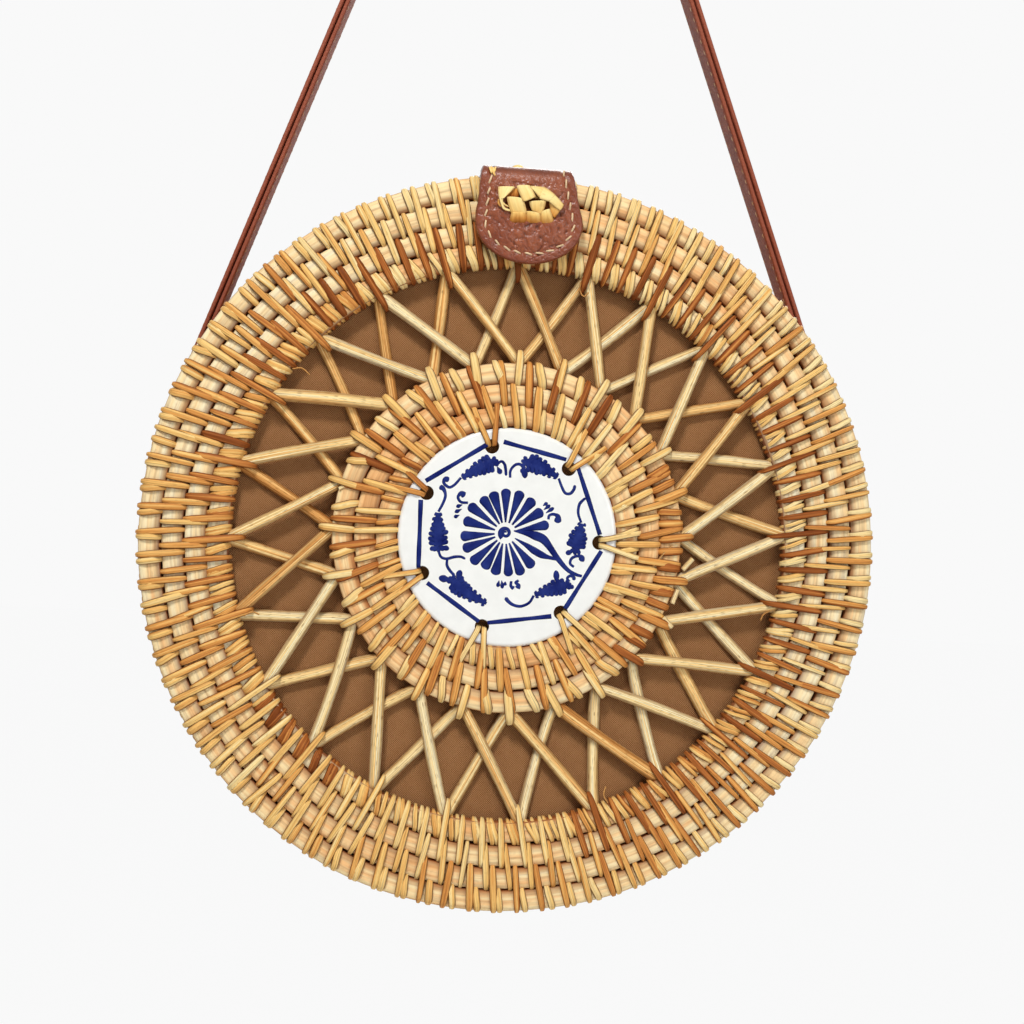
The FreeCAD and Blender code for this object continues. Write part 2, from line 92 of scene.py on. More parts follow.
# Meshes from arrays: vertices in mm, faces as arrays of three or four columns
def putMesh(name, shape, finish, body=None, replaced=()):
    faceSets = [f for f in shape["faces"] if len(f)]
    loops = np.concatenate([f.ravel() for f in faceSets]).astype(np.int32)
    sizes = np.concatenate([np.full(len(f), f.shape[1]) for f in faceSets])
    starts = np.concatenate([[0], np.cumsum(sizes)[:-1]]).astype(np.int32)
    mesh = bpy.data.meshes.new(name)
    mesh.vertices.add(len(shape["verts"]))
    mesh.vertices.foreach_set("co", (shape["verts"] * toMetres).astype(np.float32).ravel())
    mesh.loops.add(len(loops))
    mesh.loops.foreach_set("vertex_index", loops)
    mesh.polygons.add(len(starts))
    mesh.polygons.foreach_set("loop_start", starts)
    mesh.update(calc_edges=True)
    mesh.polygons.foreach_set("use_smooth", np.ones(len(starts), dtype=bool))
    layer = mesh.uv_layers.new(name="strandMap")
    layer.data.foreach_set("uv", shape["uv"].astype(np.float32).ravel())
    for label, values in shape.get("marks", {}).items():
        mark = mesh.attributes.new(label, "FLOAT", "POINT")
        mark.data.foreach_set("value", np.asarray(values, dtype=np.float32))
    mesh.validate()
    mesh.update()
    thing = bpy.data.objects.new(name, mesh)
    bpy.context.scene.collection.objects.link(thing)
    thing.data.materials.append(finish)
    if body:
        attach(thing, body)
    if replaced:
        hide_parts(*replaced)
    return thing


def unit(v):
    return v / np.maximum(np.linalg.norm(v, axis=-1, keepdims=True), 1e-9)


def polar(centre, radius, angle, y):
    # Points round the bag's axis: radius and angle in the plane of its face, y along the axis
    across, up = centre[0] + radius * np.cos(angle), centre[2] + radius * np.sin(angle)
    return np.stack(np.broadcast_arrays(across, y, up), -1)


def facing(paths, axis, sign):
    # One up direction for every point, along an axis of the frame
    ups = np.zeros_like(paths)
    ups[..., axis] = sign
    return ups


def runLength(points):
    # Distance along a line, added up from point to point
    return np.concatenate([[0], np.cumsum(np.linalg.norm(np.diff(points, axis=0), axis=1))])


def joinShapes(shapes):
    # One shape of many: vertices in turn, faces kept in sets of three and four corners
    verts, marks = [], {}
    byColumns = {3: [], 4: []}
    uvByColumns = {3: [], 4: []}
    offset = 0
    for shape in shapes:
        start = 0
        for f in shape["faces"]:
            byColumns[f.shape[1]].append(f + offset)
            uvByColumns[f.shape[1]].append(shape["uv"][start:start + f.size])
            start += f.size
        verts.append(shape["verts"])
        offset += len(shape["verts"])
        for label, values in shape.get("marks", {}).items():
            marks.setdefault(label, []).append(values)
    faces = [np.concatenate(byColumns[n]) for n in (3, 4) if byColumns[n]]
    uv = np.concatenate([u for n in (3, 4) for u in uvByColumns[n]])
    return dict(verts=np.concatenate(verts), faces=faces, uv=uv,
                marks={k: np.concatenate(v) for k, v in marks.items()})


def outward(shape):
    # Six times the enclosed volume, from fans of each face; flipped if it is negative
    total = 0.0
    for f in shape["faces"]:
        p = shape["verts"][f]
        for i in range(1, f.shape[1] - 1):
            total += np.einsum("ij,ij->i", p[:, 0], np.cross(p[:, i], p[:, i + 1])).sum()
    if total < 0:
        start = 0
        for number, f in enumerate(shape["faces"]):
            block = shape["uv"][start:start + f.size].reshape(f.shape + (2,))
            shape["uv"][start:start + f.size] = block[:, ::-1].reshape(-1, 2)
            shape["faces"][number] = f[:, ::-1]
            start += f.size
    return shape


def loft(grid, along, wrapPath, marks=None):
    # A grid of rings: strips, points along each, points round each section. Rings are closed round
    # the section; the path is closed too if wrapPath, and capped at both ends if not.
    strips, count, sides, _ = grid.shape
    used = count if wrapPath else count - 1
    s, p, k = np.meshgrid(np.arange(strips), np.arange(used), np.arange(sides), indexing="ij")
    pNext, kNext = (p + 1) % count, (k + 1) % sides
    here, ahead = (s * count + p) * sides, (s * count + pNext) * sides
    quads = np.stack([here + k, ahead + k, ahead + kNext, here + kNext], -1).reshape(-1, 4)
    u0, u1 = k / sides, (k + 1) / sides
    v0, v1 = along[s, p], np.where(pNext == 0, 2 * along[s, p] - along[s, p - 1], along[s, pNext])
    uv = np.stack([u0, v0, u0, v1, u1, v1, u1, v0], -1).reshape(-1, 2)
    faces = [quads]
    if not wrapPath:
        i = np.arange(sides // 2 - 1)
        cap = np.stack([i, i + 1, sides - 2 - i, sides - 1 - i], -1)
        first = (np.arange(strips) * count * sides)[:, None, None] + cap
        last = first[:, :, ::-1] + (count - 1) * sides
        faces += [first.reshape(-1, 4), last.reshape(-1, 4)]
        uv = np.concatenate([uv, np.full((2 * strips * len(i) * 4, 2), 0.5)])
    shape = dict(verts=grid.reshape(-1, 3), faces=faces, uv=uv, marks={})
    for label, values in (marks or {}).items():
        shape["marks"][label] = np.broadcast_to(values, (strips, count, sides)).ravel()
    return outward(shape)


def sweep(paths, ups, section, width, thick, wrapPath=False, marks=None):
    # point = path + side * across * width + up * height * thick, with side and up square to the path
    strips, count, _ = paths.shape
    if wrapPath:
        heading = np.roll(paths, -1, 1) - np.roll(paths, 1, 1)
    else:
        heading = np.gradient(paths, axis=1)
    heading = unit(heading)
    side = unit(np.cross(heading, ups))
    up = np.cross(side, heading)
    width, thick = (np.broadcast_to(v, (strips, count))[:, :, None, None] for v in (width, thick))
    across, height = section[:, 0][:, None], section[:, 1][:, None]
    grid = paths[:, :, None] + side[:, :, None] * across * width + up[:, :, None] * height * thick
    steps = np.linalg.norm(np.diff(paths, axis=1), axis=-1)
    along = np.concatenate([np.zeros((strips, 1)), np.cumsum(steps, 1)], 1) + rng.uniform(0, 400, (strips, 1))
    marks = {k: np.asarray(v).reshape(strips, -1, 1) for k, v in (marks or {}).items()}
    return loft(grid, along, wrapPath, marks)


def roundBar(count, sharp):
    # Superellipse: |across|^sharp + |height|^sharp = (1/2)^sharp
    t = np.arange(count) / count * 2 * np.pi
    c, s = np.cos(t), np.sin(t)
    r = 0.5 / (np.abs(c) ** sharp + np.abs(s) ** sharp) ** (1 / sharp)
    return np.stack([r * c, r * s], -1)


def flatBar(top, under, sharp):
    # Superellipse again, with its points spread evenly across the two faces
    spread = np.concatenate([np.linspace(0.5, -0.5, top), np.linspace(-0.5, 0.5, under + 2)[1:-1]])
    height = 0.5 * (1 - np.abs(2 * spread) ** sharp) ** (1 / sharp)
    return np.stack([spread, np.where(np.arange(top + under) < top, height, -height)], -1)


# Split strand: flat underneath, a low crown on top, quick edges
strandSection = np.array([(-0.48, 0), (-0.5, 0.55), (-0.37, 0.92), (0, 1), (0.37, 0.92), (0.5, 0.55),
                          (0.48, 0), (0, -0.2)])
# Shaved reed: flat sides, bevels and a narrow flat top, with close pairs of points to keep the corners quick
reedSection = np.array([(-0.46, 0), (-0.5, 0.08), (-0.5, 0.42), (-0.47, 0.54), (-0.3, 0.93), (-0.22, 0.99),
                        (-0.08, 1), (0.08, 1), (0.22, 0.99), (0.3, 0.93), (0.47, 0.54), (0.5, 0.42),
                        (0.5, 0.08), (0.46, 0), (0.15, -0.04), (-0.15, -0.04)])


def smoothLine(points, count):
    # Catmull-Rom curve through the points, read at even steps of its own parameter
    p = np.asarray(points, float)
    ext = np.concatenate([[2 * p[0] - p[1]], p, [2 * p[-1] - p[-2]]])
    t = np.linspace(0, len(p) - 1, count)
    i = np.minimum(t.astype(int), len(p) - 2)
    f = (t - i)[:, None]
    a, b, c, d = ext[i], ext[i + 1], ext[i + 2], ext[i + 3]
    square, cube = 2 * a - 5 * b + 4 * c - d, 3 * b - a - 3 * c + d
    return 0.5 * (2 * b + (c - a) * f + square * f ** 2 + cube * f ** 3)


def widthsAlong(widths, count):
    # Widths given at even steps, read at count points in straight lines between them
    return np.interp(np.linspace(0, 1, count), np.linspace(0, 1, len(widths)), widths)


def revolve(profile, count, centre):
    # Radius and y carried round the bag's axis; ends of the profile on the axis close as poles
    t = np.arange(count) / count * 2 * np.pi
    r, y = profile[:, 0], profile[:, 1]
    ring = polar(centre, r[:, None], t, y[:, None])
    n = len(profile)
    keep = r > 1e-6
    verts, index = [], np.zeros((n, count), int)
    total = 0
    for row in range(n):
        points = ring[row] if keep[row] else ring[row, :1]
        index[row] = total + np.arange(count) * keep[row]
        verts.append(points)
        total += len(points)
    nxt = np.roll(np.arange(count), -1)
    tris, quads = [], []
    for row in range(n - 1):
        a, b = index[row], index[row + 1]
        if keep[row] and keep[row + 1]:
            quads.append(np.stack([a, b, b[nxt], a[nxt]], -1))
        elif keep[row]:
            tris.append(np.stack([a, b, a[nxt]], -1))
        else:
            tris.append(np.stack([a, b, b[nxt]], -1))
    verts = np.concatenate(verts)
    faces = [np.concatenate(f) for f in (tris, quads) if f]
    uv = np.concatenate([verts[f.ravel()][:, [0, 2]] for f in faces])
    return outward(dict(verts=verts, faces=faces, uv=uv, marks={}))


# Node groups shared by the finishes
def newGroup(name, inputs, outputs):
    # inputs gives each name its value, or None for a vector; all outputs are values
    group = bpy.data.node_groups.new(name, "ShaderNodeTree")
    for label, value in inputs.items():
        kind = "NodeSocketVector" if value is None else "NodeSocketFloat"
        sock = group.interface.new_socket(label, in_out="INPUT", socket_type=kind)
        if value is not None:
            sock.default_value = value
    for label in outputs:
        group.interface.new_socket(label, in_out="OUTPUT", socket_type="NodeSocketFloat")
    return group, group.nodes.new("NodeGroupInput").outputs, group.nodes.new("NodeGroupOutput").inputs


def link(tree, a, b):
    tree.links.new(a, b)


def feed(tree, sock, value):
    # A plain number or colour is set on the socket, and anything else is linked to it
    if isinstance(value, (int, float, tuple)):
        sock.default_value = value
    elif value is not None:
        link(tree, value, sock)


def mathNode(tree, kind, a, b=None, clamp=False):
    n = tree.nodes.new("ShaderNodeMath")
    n.operation = kind
    n.use_clamp = clamp
    feed(tree, n.inputs[0], a)
    feed(tree, n.inputs[1], b)
    return n.outputs[0]


def vectorNode(tree, kind, a, b=None, scale=None):
    n = tree.nodes.new("ShaderNodeVectorMath")
    n.operation = kind
    feed(tree, n.inputs[0], a)
    feed(tree, n.inputs[1], b)
    if scale is not None:
        n.inputs["Scale"].default_value = scale
    return n.outputs[0]


def noiseNode(tree, vector, scale, detail=2.0, rough=0.5, output="Fac"):
    n = tree.nodes.new("ShaderNodeTexNoise")
    n.inputs["Scale"].default_value = scale
    n.inputs["Detail"].default_value = detail
    n.inputs["Roughness"].default_value = rough
    link(tree, vector, n.inputs["Vector"])
    return n.outputs[output]


def mixColour(tree, factor, a, b):
    n = tree.nodes.new("ShaderNodeMix")
    n.data_type = "RGBA"
    for sock, value in ((n.inputs[0], factor), (n.inputs[6], a), (n.inputs[7], b)):
        feed(tree, sock, value)
    return n.outputs[2]


def ramp(tree, factor, stops):
    n = tree.nodes.new("ShaderNodeValToRGB")
    n.color_ramp.elements.remove(n.color_ramp.elements[1])
    for number, (spot, colour) in enumerate(stops):
        e = n.color_ramp.elements[0] if number == 0 else n.color_ramp.elements.new(spot)
        e.position = spot
        e.color = srgb(*colour)
    link(tree, factor, n.inputs[0])
    return n.outputs[0]


def markNode(tree, label):
    n = tree.nodes.new("ShaderNodeAttribute")
    n.attribute_name = label
    return n.outputs["Fac"]


def objectPlace(tree):
    return tree.nodes.new("ShaderNodeTexCoord").outputs["Object"]


# the edge gain sets how fast the painted shade comes in on the sides of a section
fibreGrain = dict(streak=2.0, fine=5.0, edgeShadeGain=9.0, fleckStretch=(0.5, 5.0, 1.0), fleck=9.0, fleckFrom=0.64,
                  fleckGain=12.0)


def makeFibre():
    # Cane fibre: noise drawn out along the strand, coarse streaks and fine ones, short dark flecks where a
    # shorter noise peaks, and a mask of painted shade for its edges: how far round the section a point is
    # from the crown
    group, inp, out = newGroup("caneFibre", dict(Across=5.0, Along=0.05, Crown=0.375, Shoulder=0.16),
                               ("Streak", "Fine", "EdgeShade", "Fleck"))
    uvNode = group.nodes.new("ShaderNodeUVMap")
    uvNode.uv_map = "strandMap"
    stretch = group.nodes.new("ShaderNodeCombineXYZ")
    split = group.nodes.new("ShaderNodeSeparateXYZ")
    link(group, uvNode.outputs[0], split.inputs[0])
    for axis, label in enumerate(("Across", "Along")):
        link(group, mathNode(group, "MULTIPLY", split.outputs[axis], inp[label]), stretch.inputs[axis])
    link(group, noiseNode(group, stretch.outputs[0], fibreGrain["streak"], 2.0, 0.6), out["Streak"])
    link(group, noiseNode(group, stretch.outputs[0], fibreGrain["fine"], 2.0, 0.5), out["Fine"])
    apart = mathNode(group, "ABSOLUTE", mathNode(group, "SUBTRACT", split.outputs[0], inp["Crown"]))
    over = mathNode(group, "SUBTRACT", apart, inp["Shoulder"])
    link(group, mathNode(group, "MULTIPLY", over, fibreGrain["edgeShadeGain"], clamp=True), out["EdgeShade"])
    short = vectorNode(group, "MULTIPLY", stretch.outputs[0], fibreGrain["fleckStretch"])
    spots = noiseNode(group, short, fibreGrain["fleck"], 0.0)
    peak = mathNode(group, "SUBTRACT", spots, fibreGrain["fleckFrom"])
    link(group, mathNode(group, "MULTIPLY", peak, fibreGrain["fleckGain"], clamp=True), out["Fleck"])
    return group


pebbleGrain = dict(warp=500.0, warpBy=0.0012, gain=3.0, rounding=0.5, mottle=160.0)


def makePebble():
    # Leather grain: cells of uneven size with creases between them, over a slow mottling
    group, inp, out = newGroup("leatherPebble", dict(Scale=900.0), ("Height", "Mottle"))
    place = objectPlace(group)
    warp = noiseNode(group, place, pebbleGrain["warp"], output="Color")
    bent = vectorNode(group, "ADD", place, vectorNode(group, "SCALE", warp, scale=pebbleGrain["warpBy"]))
    cells = group.nodes.new("ShaderNodeTexVoronoi")
    cells.feature = "DISTANCE_TO_EDGE"
    link(group, bent, cells.inputs["Vector"])
    link(group, inp["Scale"], cells.inputs["Scale"])
    near = mathNode(group, "MULTIPLY", cells.outputs["Distance"], pebbleGrain["gain"], clamp=True)
    link(group, mathNode(group, "POWER", near, pebbleGrain["rounding"]), out["Height"])
    link(group, noiseNode(group, place, pebbleGrain["mottle"], 3.0, 0.6), out["Mottle"])
    return group


def makeWeave():
    # Plain weave: warp and weft threads as rounded ridges that take turns on top
    group, inp, out = newGroup("clothWeave", dict(Vector=None, Threads=2.0), ("Height", "Mottle"))
    split = group.nodes.new("ShaderNodeSeparateXYZ")
    link(group, inp["Vector"], split.inputs[0])
    turns = [mathNode(group, "MULTIPLY", split.outputs[axis], inp["Threads"]) for axis in (0, 1)]
    ridges = [mathNode(group, "MULTIPLY", turn, math.pi) for turn in turns]
    warpSine, weftSine = (mathNode(group, "SINE", ridge) for ridge in ridges)
    warp, weft = (mathNode(group, "ABSOLUTE", mathNode(group, "COSINE", ridge)) for ridge in ridges)
    pick = mathNode(group, "GREATER_THAN", mathNode(group, "MULTIPLY", warpSine, weftSine), 0.0)
    over = mathNode(group, "MULTIPLY", pick, warp)
    under = mathNode(group, "MULTIPLY", mathNode(group, "SUBTRACT", 1.0, pick), weft)
    link(group, mathNode(group, "ADD", over, under), out["Height"])
    link(group, noiseNode(group, inp["Vector"], 0.35, 3.0, 0.65), out["Mottle"])
    return group


caneFibre, leatherPebble, clothWeave = makeFibre(), makePebble(), makeWeave()


def newFinish(name, roughness, specular=0.5):
    mat = bpy.data.materials.new(name)
    mat.use_nodes = True
    tree = mat.node_tree
    shader = tree.nodes["Principled BSDF"]
    shader.inputs["Roughness"].default_value = roughness
    shader.inputs["Specular IOR Level"].default_value = specular
    return mat, tree, shader


def placeGroup(tree, group, **values):
    n = tree.nodes.new("ShaderNodeGroup")
    n.node_tree = group
    for label, value in values.items():
        n.inputs[label].default_value = value
    return n


def bumpFrom(tree, shader, height, strength, distance):
    n = tree.nodes.new("ShaderNodeBump")
    n.inputs["Strength"].default_value = strength
    n.inputs["Distance"].default_value = distance
    link(tree, height, n.inputs["Height"])
    link(tree, n.outputs[0], shader.inputs["Normal"])


cane = dict(fineFrom=0.55, roughSpan=0.3, roughDrop=0.15, bumpHeight=0.0002)


def caneFinish(name, stops, look):
    # Colour runs from pale to dark by the strand's own tone, with streaks along it, and edges darkened as
    # painted shade
    mat, tree, shader = newFinish(name, look["rough"], look["spec"])
    fibre = placeGroup(tree, caneFibre, Across=look["across"], Along=look["along"], Crown=look["crown"],
                       Shoulder=look["shoulder"]).outputs
    swing = mathNode(tree, "MULTIPLY", mathNode(tree, "SUBTRACT", fibre["Streak"], 0.5), look["streak"])
    colour = ramp(tree, mathNode(tree, "ADD", markNode(tree, "tone"), swing, clamp=True), stops)
    fine = mathNode(tree, "SUBTRACT", cane["fineFrom"], fibre["Fine"])
    fine = mathNode(tree, "MULTIPLY", fine, look["fine"], clamp=True)
    # painted shade: the sides of each strand, rod, reed and knot strip are darkened towards the dark colour,
    # for the light falling off round the section
    edge = mathNode(tree, "MULTIPLY", fibre["EdgeShade"], look["edge"])
    fleck = mathNode(tree, "MULTIPLY", fibre["Fleck"], look["fleck"])
    for mask in (fine, edge, fleck):
        colour = mixColour(tree, mask, colour, srgb(*look["dark"]))
    link(tree, colour, shader.inputs["Base Color"])
    rough = mathNode(tree, "MULTIPLY", fibre["Fine"], cane["roughSpan"])
    rough = mathNode(tree, "ADD", rough, look["rough"] - cane["roughDrop"])
    link(tree, rough, shader.inputs["Roughness"])
    bumpFrom(tree, shader, fibre["Fine"], look["bump"], cane["bumpHeight"])
    return mat


# In each look, edge, crown and shoulder place painted shade on the sides of the section, and dark is the
# colour of both the grain lines and flecks and that shade. On the rods the crown sits off-centre, so the
# painted shade covers more of one side of each rod's face.
strandLook = dict(rough=0.5, spec=0.08, across=4.0, along=0.012, crown=0.375, shoulder=0.1, streak=1.2,
                  fine=1.5, edge=0.92, fleck=0.15, dark=(104, 44, 6), bump=0.5)
strandStops = [(0.0, (254, 230, 168)), (0.3, (249, 203, 122)), (0.55, (229, 160, 83)), (0.8, (180, 106, 51)),
               (1.0, (126, 66, 28))]
rodLook = dict(rough=0.6, spec=0.05, across=4.6, along=0.012, crown=0.215, shoulder=0.075, streak=1.3,
               fine=1.3, edge=0.9, fleck=0.08, dark=(126, 54, 8), bump=0.5)
rodStops = [(0.0, (255, 244, 206)), (0.4, (255, 226, 170)), (0.7, (248, 194, 132)), (1.0, (212, 144, 86))]
reedLook = dict(rough=0.6, spec=0.08, across=9.0, along=0.009, crown=0.406, shoulder=0.1, streak=1.7,
                fine=2.1, edge=0.55, fleck=0.5, dark=(124, 68, 24), bump=0.6)
reedStops = [(0.0, (255, 246, 206)), (0.4, (255, 222, 152)), (0.7, (240, 178, 102)), (1.0, (170, 104, 46))]
knotLook = dict(strandLook, across=2.2, crown=0.227, shoulder=0.13, streak=0.5, fine=0.7, edge=0.6,
                dark=(146, 72, 14))
# the darkest stop is painted shade, for the holes of the knot
knotStops = [(0.0, (255, 232, 160)), (0.3, (252, 208, 124)), (0.6, (222, 150, 70)), (0.8, (150, 80, 26)),
             (1.0, (60, 26, 6))]
strandFinish = caneFinish("splitCane", strandStops, strandLook)
knotFinish = caneFinish("knotStrip", knotStops, knotLook)
rodFinish = caneFinish("peeledRod", rodStops, rodLook)
reedFinish = caneFinish("latticeReed", reedStops, reedLook)


# The first two shares set how much painted shade darkens the grain's hollows and the creases marked on the
# surface
leather = dict(hollowShadeShare=0.55, creaseShadeShare=0.9, edgeShare=0.75, roughRise=0.12, roughSpan=0.16,
               bumpHeight=0.0003)


def leatherFinish(name, look):
    # Mottled colour, with painted shade in the hollows of the grain and in the creases marked on the surface,
    # and another colour at cut edges
    mat, tree, shader = newFinish(name, look["rough"], look["spec"])
    grain = placeGroup(tree, leatherPebble, Scale=look["scale"]).outputs
    colour = ramp(tree, grain["Mottle"], [(0.3, look["deep"]), (0.7, look["worn"])])
    # painted shade: hollows of the grain and marked creases darkened towards the crease colour
    hollowShade = mathNode(tree, "SUBTRACT", 1.0, grain["Height"])
    fold, edge = markNode(tree, "creaseShade"), markNode(tree, "edge")
    for mask, part, tint in ((hollowShade, "hollowShadeShare", "creaseShade"), (fold, "creaseShadeShare", "creaseShade"),
                             (edge, "edgeShare", "edge")):
        share = mathNode(tree, "MULTIPLY", mask, leather[part], clamp=True)
        colour = mixColour(tree, share, colour, srgb(*look[tint]))
    link(tree, colour, shader.inputs["Base Color"])
    worn = mathNode(tree, "MULTIPLY", grain["Height"], leather["roughSpan"])
    rough = mathNode(tree, "SUBTRACT", look["rough"] + leather["roughRise"], worn)
    link(tree, rough, shader.inputs["Roughness"])
    bumpFrom(tree, shader, grain["Height"], look["bump"], leather["bumpHeight"])
    return mat


# Each look's crease colour is the painted shade in the grain's hollows and the surface's creases
flapLook = dict(rough=0.25, spec=0.4, scale=2200.0, bump=0.15, deep=(133, 60, 28), worn=(171, 92, 54),
                creaseShade=(56, 14, 0), edge=(121, 54, 28))
strapLook = dict(rough=0.5, spec=0.16, scale=1000.0, bump=0.3, deep=(138, 70, 50), worn=(166, 92, 68),
                 creaseShade=(98, 42, 26), edge=(150, 80, 58))
flapLeather = leatherFinish("flapLeather", flapLook)
strapLeather = leatherFinish("strapLeather", strapLook)


def clothFinish(name, look, useMap):
    # Weave on the piece's own map where it is curved, and on its place where it is flat
    mat, tree, shader = newFinish(name, look["rough"], look["spec"])
    turn = tree.nodes.new("ShaderNodeMapping")
    if useMap:
        link(tree, tree.nodes.new("ShaderNodeTexCoord").outputs["UV"], turn.inputs["Vector"])
    else:
        turn.inputs["Rotation"].default_value = (math.radians(90), 0, math.radians(look["turn"]))
        turn.inputs["Scale"].default_value = (1000, 1000, 1000)
        link(tree, objectPlace(tree), turn.inputs["Vector"])
    weave = placeGroup(tree, clothWeave, Threads=look["threads"])
    link(tree, turn.outputs[0], weave.inputs["Vector"])
    # painted shade in the gaps between the threads and painted highlight on their crowns, by the weave's
    # height
    stops = [(0.0, look["gap"]), (0.6, look["body"]), (1.0, look["top"])]
    thread = ramp(tree, weave.outputs["Height"], stops)
    stain = mathNode(tree, "MULTIPLY", weave.outputs["Mottle"], look["stainShare"])
    link(tree, mixColour(tree, stain, thread, srgb(*look["stain"])), shader.inputs["Base Color"])
    bumpFrom(tree, shader, weave.outputs["Height"], look["bump"], look["bumpHeight"])
    return mat


# gap is painted shade between the threads, and top a painted highlight on their crowns
liningLook = dict(rough=0.9, spec=0.04, bump=0.5, bumpHeight=0.00025, turn=42, threads=2.4, gap=(54, 28, 8),
                  body=(136, 91, 54), top=(206, 154, 106), stain=(124, 80, 46), stainShare=0.5)
liningFinish = clothFinish("liningCotton", liningLook, False)
bandFinish = clothFinish("liningBandCotton", liningLook, True)


def plainFinish(name, colour, roughness, spread, metallic=0.0, coat=0.0, specular=0.5):
    # One colour with a slow cloudiness, for thread, metal and glaze
    mat, tree, shader = newFinish(name, roughness, specular)
    shader.inputs["Metallic"].default_value = metallic
    shader.inputs["Coat Weight"].default_value = coat
    shader.inputs["Coat Roughness"].default_value = 0.05
    cloud = noiseNode(tree, objectPlace(tree), 260.0, 3.0)
    dim = tuple(max(0, c - spread) for c in colour)
    link(tree, ramp(tree, cloud, [(0.3, dim), (0.7, colour)]), shader.inputs["Base Color"])
    return mat


threadFinish = plainFinish("waxedThread", (234, 203, 162), 0.6, 34)
glazeFinish = plainFinish("whiteGlaze", (245, 245, 240), 0.16, 6, coat=0.2)
cobaltFinish = plainFinish("cobaltPaint", (36, 51, 120), 0.4, 30, specular=0.1)
brassFinish = plainFinish("agedBrass", (176, 142, 84), 0.32, 40, metallic=1.0)
print("finishes ready")

# Rods of the coils. Each wave of their wander is its turns round the bag and its share.
rod = dict(width=5.9, thick=5.0, pitch=5.9, sharp=5.6, sides=16, wobble=0.16, toneWave=0.12,
           waves=((3, 1.0), (7, 0.6), (17, 0.5)))


def ringRods(radii, centre, y, upIs, tones, count, pale=0.0):
    # Circles with a wander of three sine waves, carried with a squarish section. On a face of the bag up is
    # along Y, forwards or back; on its wall up is out, and the wander is mostly along Y. pale lightens the
    # two sides.
    t = np.arange(count) / count * 2 * np.pi
    radii = np.asarray(radii, float)[:, None]
    y = np.broadcast_to(np.asarray(y, float), (len(radii),))[:, None]
    phase = rng.uniform(0, 6.28, (len(radii), 3))
    waves = [size * np.sin(pace * t + phase[:, [i]]) for i, (pace, size) in enumerate(rod["waves"])]
    wander = rod["wobble"] * sum(waves)
    onWall = upIs == "out"
    paths = polar(centre, radii + wander * (0.5 if onWall else 1), t, y + wander * (1 if onWall else 0.5))
    ups = polar((0, 0, 0), 1.0, t, 0.0) + 0 * paths if onWall else facing(paths, 1, upIs)
    mark = np.asarray(tones, float)[:, None] + rod["toneWave"] * np.sin(t * 2 + phase[:, :1])
    mark = mark - pale * np.cos(t) ** 2
    return sweep(paths, ups, roundBar(rod["sides"], rod["sharp"]), rod["width"], rod["thick"], wrapPath=True,
                 marks=dict(tone=mark))


# Strands are pulled narrow where they dive between the rods and stand up in an arch between. A row of them
# may have its own dives and spreads, and its own miss, which is in degrees round the bag.
stitch = dict(taper=0.4, widen=1.03, arch=0.16, bend=1.9, dives=(2.4, 2.4), miss=0.2, leanSpread=0.05,
              widthSpread=0.12, toneSpread=0.1)


def jitter(n, amount):
    return rng.normal(0, amount, n)


def rowValue(row, key):
    return row.get(key, stitch[key])


def missed(n, row):
    return jitter(n, rowValue(row, "miss"))


def stitchWidth(width, x, length):
    # Full width times 1 - taper * |2 x / length - 1|^6, so only the ends of a stitch draw in
    share = np.abs(2 * x / length - 1) ** 6
    return np.broadcast_to(width, (len(length),))[:, None] * stitch["widen"] * (1 - stitch["taper"] * share)


def stitchRun(length, bend, dives, arch, ends=5, middle=4):
    # Along a stitch: up out of the gap on a quarter ellipse, across in a slight arch, and down again.
    # Gives distance along, lift, and the outward direction as parts along and away from the coil.
    phi = np.linspace(0, np.pi / 2, ends)
    fall = phi[::-1]
    span = np.linspace(0, 1, middle + 2)[1:-1]
    x = np.concatenate([0 * length + bend * (1 - np.cos(phi)), bend + (length - 2 * bend) * span,
                        length - bend * (1 - np.cos(fall))], 1)
    h = np.concatenate([-dives[0] * (1 - np.sin(phi)), arch * np.sin(np.pi * span) ** 2,
                        -dives[1] * (1 - np.sin(fall))])
    away = np.concatenate([np.sin(phi), np.ones(middle), np.sin(fall)])
    back = np.concatenate([-np.cos(phi), np.zeros(middle), np.cos(fall)])
    return x, h + 0 * x, back + 0 * x, away + 0 * x


def stitches(surface, start, end, angle, lean, width, thick, tone, dives=stitch["dives"], bend=stitch["bend"],
             arch=stitch["arch"]):
    # Strands laid from start to end: radii on a disc, which has a level and the way it faces, or places along
    # Y on a wall, which has a radius. lean shifts the far end round the bag, clockwise if positive.
    n = len(angle)
    values = (start, end, lean, tone)
    start, end, lean, tone = (np.broadcast_to(v, (n,)).astype(float)[:, None] for v in values)
    sign, length = np.sign(end - start), np.abs(end - start)
    x, h, back, away = stitchRun(length, bend, dives, arch)
    spot = start + sign * x
    if "radius" in surface:
        radius, y, turnAt = surface["radius"] + h, spot, surface["radius"]
        outPart, yPart = away, sign * back
    else:
        radius, y, turnAt = spot, surface["level"] + surface["faces"] * h, spot
        outPart, yPart = sign * back, surface["faces"] * away
    a = angle[:, None] - lean * (x - length / 2) / turnAt
    paths = polar(surface["centre"], radius, a, y)
    ups = polar((0, 0, 0), outPart, a, yPart)
    return sweep(paths, ups, strandSection, stitchWidth(width, x, length), thick, marks=dict(tone=tone))


def toneRuns(angle, runs, spread=stitch["toneSpread"]):
    # Strands keep one colour until the weaver takes a new one: runs of (from, tone), in degrees round the bag
    deg = np.degrees(angle) % 360
    tone = np.full(len(deg), runs[-1][1], float)
    for begin, value in runs:
        tone[deg >= begin] = value
    return np.clip(tone + rng.normal(0, spread, len(deg)), 0, 1)


